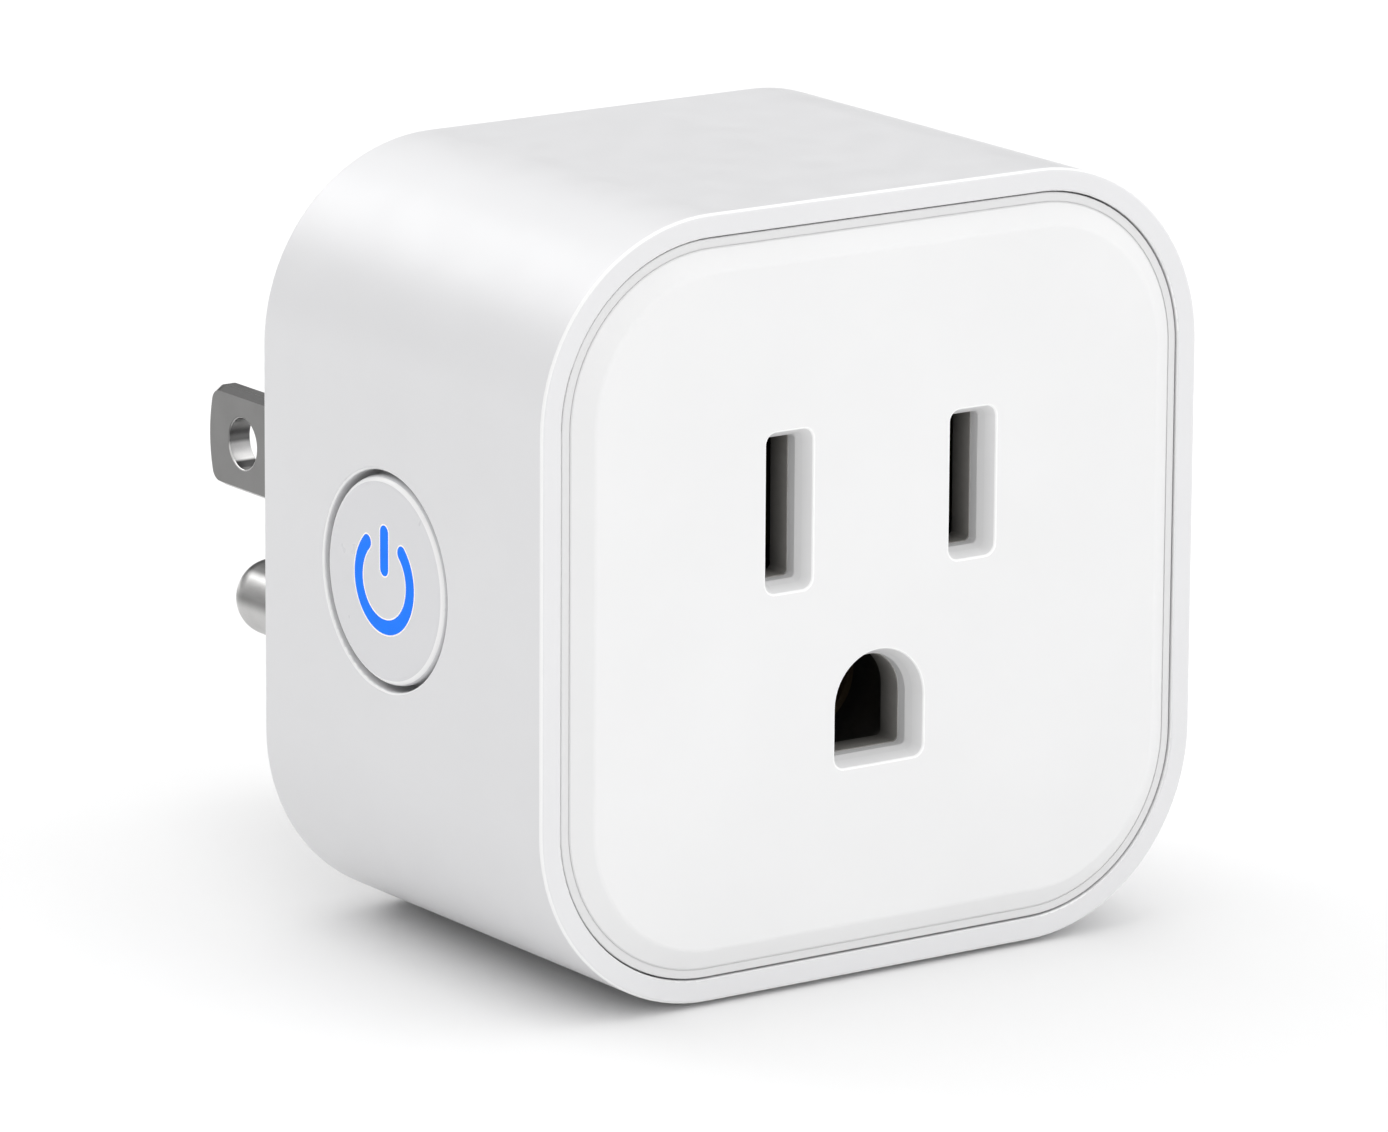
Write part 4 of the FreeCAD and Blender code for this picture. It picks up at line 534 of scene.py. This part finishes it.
def make_materials():
    """One material for each of the record's slots."""
    # Distances from the rim of the button's hole where a painted highlight lies: on the hole's lip and on
    # the button's rounded edge.
    shell_highlight_ring = (0.02 * MM, 0.11 * MM)
    button_highlight_ring = (-0.66 * MM, -0.44 * MM)
    coil_pitch = 0.22 * MM
    return {
        "shell_white": moulded_plastic("shell_white", (0.74, 0.74, 0.75), 0.33, 0.9 * MICRON,
                                       highlight_ring=shell_highlight_ring, rim=True),
        "panel_white": panel_plastic("panel_white", (0.8, 0.8, 0.803), 0.4, 0.8 * MICRON),
        "button_white": moulded_plastic("button_white", (0.71, 0.71, 0.725), 0.3, 0.9 * MICRON,
                                        highlight_ring=button_highlight_ring),
        "symbol_blue": lit_inlay("symbol_blue", (0.001, 0.105, 0.53), 1.0),
        # The first colour is painted light near the outlet face; the second is the block's own dark colour.
        "carrier_dark": throat_plastic("carrier_dark", (0.3, 0.29, 0.275), (0.02, 0.019, 0.018)),
        # The brass is coloured much darker than bare brass: painted shade deep inside the outlet's
        # openings.
        "contact_brass": stamped_metal("contact_brass", (0.13, 0.1, 0.062), 0.45),
        "strap_copper": stamped_metal("strap_copper", (0.76, 0.42, 0.27), 0.32),
        "blade_nickel": metal_with_painted_reflections("blade_nickel", BLADE_PAINTED_REFLECTIONS, 0.34, blade_edge_level()),
        "pin_nickel": metal_with_painted_reflections("pin_nickel", PIN_PAINTED_REFLECTIONS, 0.33),
        "board_green": solder_mask("board_green", (0.012, 0.12, 0.05), (0.03, 0.2, 0.08)),
        "module_board": solder_mask("module_board", (0.01, 0.03, 0.1), (0.02, 0.06, 0.17)),
        "relay_black": moulded_plastic("relay_black", (0.025, 0.025, 0.026), 0.45, 1.5 * MICRON),
        "relay_blue": moulded_plastic("relay_blue", (0.03, 0.12, 0.42), 0.35, 1.2 * MICRON),
        "relay_steel": stamped_metal("relay_steel", (0.5, 0.49, 0.46), 0.35),
        "bobbin_plastic": moulded_plastic("bobbin_plastic", (0.55, 0.5, 0.4), 0.45, 1.5 * MICRON),
        "coil_copper": wound_wire("coil_copper", (0.72, 0.34, 0.16), coil_pitch),
        "solder_tin": solder_metal("solder_tin", (0.7, 0.7, 0.69)),
        "shield_steel": brushed_metal("shield_steel", (0.6, 0.6, 0.58), 0.32, along="x"),
        "capacitor_sleeve": shrink_sleeve("capacitor_sleeve", (0.03, 0.035, 0.05), (0.5, 0.5, 0.48),
                                          capacitor_stripe_level()),
        "ferrite": sintered("ferrite", (0.06, 0.058, 0.056)),
        "film_yellow": dipped_coating("film_yellow", (0.75, 0.5, 0.06)),
        "varistor_blue": dipped_coating("varistor_blue", (0.02, 0.1, 0.4)),
        "fuse_body": dipped_coating("fuse_body", (0.28, 0.17, 0.08)),
        "chip_black": moulded_plastic("chip_black", (0.022, 0.022, 0.024), 0.55, 3 * MICRON),
        "plunger_black": moulded_plastic("plunger_black", (0.03, 0.03, 0.03), 0.4, 1.5 * MICRON),
        "lamp_lens": clear_resin("lamp_lens", (0.85, 0.88, 0.95), 0.15),
        "guide_clear": clear_resin("guide_clear", (0.93, 0.95, 0.97), 0.1),
        "screw_steel": brushed_metal("screw_steel", (0.5, 0.495, 0.485), 0.3, along="y"),
    }


def dress_nodes(materials):
    """Give every CAD node its slot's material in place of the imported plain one."""
    for name, thing in frame["nodes"].items():
        for holder in thing.material_slots:
            holder.material = materials[SLOT_OF_NODE[name]]


# ---------------------------------------------------------------- added pieces

def front_outlines(thing, front):
    """Closed outlines, in order, of the mesh faces that lie in the plane x = front."""
    same_point, same_plane = 0.001 * MM, 0.01 * MM
    mesh = bmesh.new()
    mesh.from_mesh(thing.data)
    bmesh.ops.remove_doubles(mesh, verts=mesh.verts, dist=same_point)
    flat = {f for f in mesh.faces if all(abs(v.co.x - front) < same_plane for v in f.verts)}
    neighbours = {}
    for edge in mesh.edges:
        if sum(face in flat for face in edge.link_faces) == 1:
            first, second = (vert.co.copy().freeze() for vert in edge.verts)
            neighbours.setdefault(first, []).append(second)
            neighbours.setdefault(second, []).append(first)
    mesh.free()
    outlines = []
    while neighbours:
        start = next(iter(neighbours))
        outline, place = [], start
        while place is not None:
            outline.append(place)
            place = next((n for n in neighbours.pop(place) if n in neighbours), None)
        outlines.append(outline)
    return outlines


def grown(outline, by):
    """The outline grown outwards in its own plane."""
    area = sum(a.y * b.z - b.y * a.z for a, b in zip(outline, outline[1:] + outline[:1]))
    moved = []
    for index, point in enumerate(outline):
        along = outline[(index + 1) % len(outline)] - outline[index - 1]
        outward = Vector((0.0, along.z, -along.y)).normalized() * math.copysign(by, area)
        moved.append(point + outward)
    return moved


def make_symbol_edge():
    """Fine pale lip of the light guide round each blue shape of the power symbol."""
    symbol = frame["nodes"]["power_symbol"]
    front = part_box("power_symbol")[0].x
    lip = 0.055 * MM
    # The middle of the lip lies just outside the blue shape and just behind its front.
    outwards, inwards = 0.7 * lip, 0.6 * lip
    curve = bpy.data.curves.new("symbol_edge", "CURVE")
    curve.dimensions = "3D"
    curve.bevel_depth = lip
    curve.bevel_resolution = 3
    for outline in front_outlines(symbol, front):
        spline = curve.splines.new("POLY")
        points = grown(outline, outwards)
        spline.points.add(len(points) - 1)
        for target, point in zip(spline.points, points):
            target.co = (point.x + inwards, point.y, point.z, 1.0)
        spline.use_cyclic_u = True
    curve.materials.append(lit_lip("symbol_edge_white"))
    edge = new_object("symbol_edge", curve)
    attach(edge, "button")


# ---------------------------------------------------------------- studio

def make_floor():
    """Pale matte floor, far larger than any view of it, with a thin dark gap under the shell."""
    reach = 3.0
    gap = 0.3 * MM
    level = cad_low.z - gap
    mesh = bpy.data.meshes.new("floor")
    corners = [(-reach, -reach, level), (reach, -reach, level),
               (reach, reach, level), (-reach, reach, level)]
    mesh.from_pydata(corners, [], [(0, 1, 2, 3)])
    mesh.materials.append(floor_paper("floor_paper"))
    floor = new_object("floor", mesh)


def make_sky():
    """Soft white room: brightest in front of the plug, a little to its right, and dim behind it."""
    world = bpy.data.worlds.new("soft_room")
    world.use_nodes = True
    tree = world.node_tree
    background = tree.nodes["Background"]
    direction = tree.nodes.new("ShaderNodeTexCoord").outputs["Generated"]

    def towards(axis, start, end, low, high):
        """Ramp from low to high as the direction looked in turns towards an axis."""
        dot = tree.nodes.new("ShaderNodeVectorMath")
        dot.operation = "DOT_PRODUCT"
        dot.inputs[1].default_value = axis
        tree.links.new(direction, dot.inputs[0])
        ramp = tree.nodes.new("ShaderNodeMapRange")
        ramp.interpolation_type = "SMOOTHSTEP"
        for name, number in (("From Min", start), ("From Max", end), ("To Min", low), ("To Max", high)):
            ramp.inputs[name].default_value = number
        tree.links.new(dot.outputs["Value"], ramp.inputs["Value"])
        return ramp.outputs["Result"]

    front = towards((0.35, -0.935, 0.0), start=-0.1, end=0.9, low=0.5, high=1.41)
    dim_back = towards((0.1, 1.0, 0.1), start=0.5, end=0.78, low=1.0, high=0.5)
    product = tree.nodes.new("ShaderNodeMath")
    product.operation = "MULTIPLY"
    tree.links.new(front, product.inputs[0])
    tree.links.new(dim_back, product.inputs[1])
    tree.links.new(product.outputs["Value"], background.inputs["Strength"])
    background.inputs["Color"].default_value = (1.0, 1.0, 1.0, 1.0)
    bpy.context.scene.world = world


def aim(thing, direction):
    """Turn a light so that it shines from a direction."""
    thing.rotation_mode = "QUATERNION"
    thing.rotation_quaternion = (-Vector(direction).normalized()).to_track_quat("-Z", "Y")


def make_key():
    """Very wide overhead light, a little behind the plug: even on the floor, soft in shadow."""
    light = bpy.data.lights.new("key", "SUN")
    light.energy = 1.65
    light.angle = math.radians(84)
    aim(new_object("key", light), (-0.06, 0.4, 1.0))


def make_softbox(name, direction, distance, width, height, watts):
    """Rectangular area light that faces the middle of the plug and isn't seen itself."""
    light = bpy.data.lights.new(name, "AREA")
    light.shape = "RECTANGLE"
    light.size = width
    light.size_y = height
    light.energy = watts
    box = new_object(name, light)
    box.location = (cad_low + cad_high) / 2 + Vector(direction).normalized() * distance
    aim(box, direction)
    box.visible_camera = False


def make_lights():
    """The room, the overhead light and a softbox behind the shell's upper left corner."""
    make_sky()
    make_key()
    make_softbox("corner_softbox", direction=(-0.26, 0.8, 0.56), distance=0.7,
                 width=0.4, height=0.25, watts=0.55)


def make_camera():
    """Long lens in front and to the button's side, a little above the plug."""
    yaw, pitch, roll = math.radians(34.882), math.radians(13.845), math.radians(0.337)
    distance, aim_right, aim_up = 542.66 * MM, 10.194 * MM, -1.057 * MM
    forward = Vector((math.sin(yaw) * math.cos(pitch), math.cos(yaw) * math.cos(pitch), -math.sin(pitch)))
    level = Vector((math.cos(yaw), -math.sin(yaw), 0.0))
    upright = level.cross(forward)
    right = level * math.cos(roll) + upright * math.sin(roll)
    up = upright * math.cos(roll) - level * math.sin(roll)
    rim_middle = Vector((0.0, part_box("housing_sleeve")[0].y, 0.0))
    place = rim_middle - forward * distance - right * aim_right - up * aim_up
    lens = bpy.data.cameras.new("camera")
    lens.lens = 249.5
    lens.sensor_width = 36.0
    lens.clip_start = 0.01
    lens.clip_end = 20.0
    camera = new_object("camera", lens)
    columns = Matrix((right, up, -forward)).transposed()
    camera.matrix_world = Matrix.Translation(place) @ columns.to_4x4()
    bpy.context.scene.camera = camera


# ---------------------------------------------------------------- the scene

dress_nodes(make_materials())
make_symbol_edge()
make_floor()
make_lights()
make_camera()
bpy.context.scene.view_settings.view_transform = "Standard"
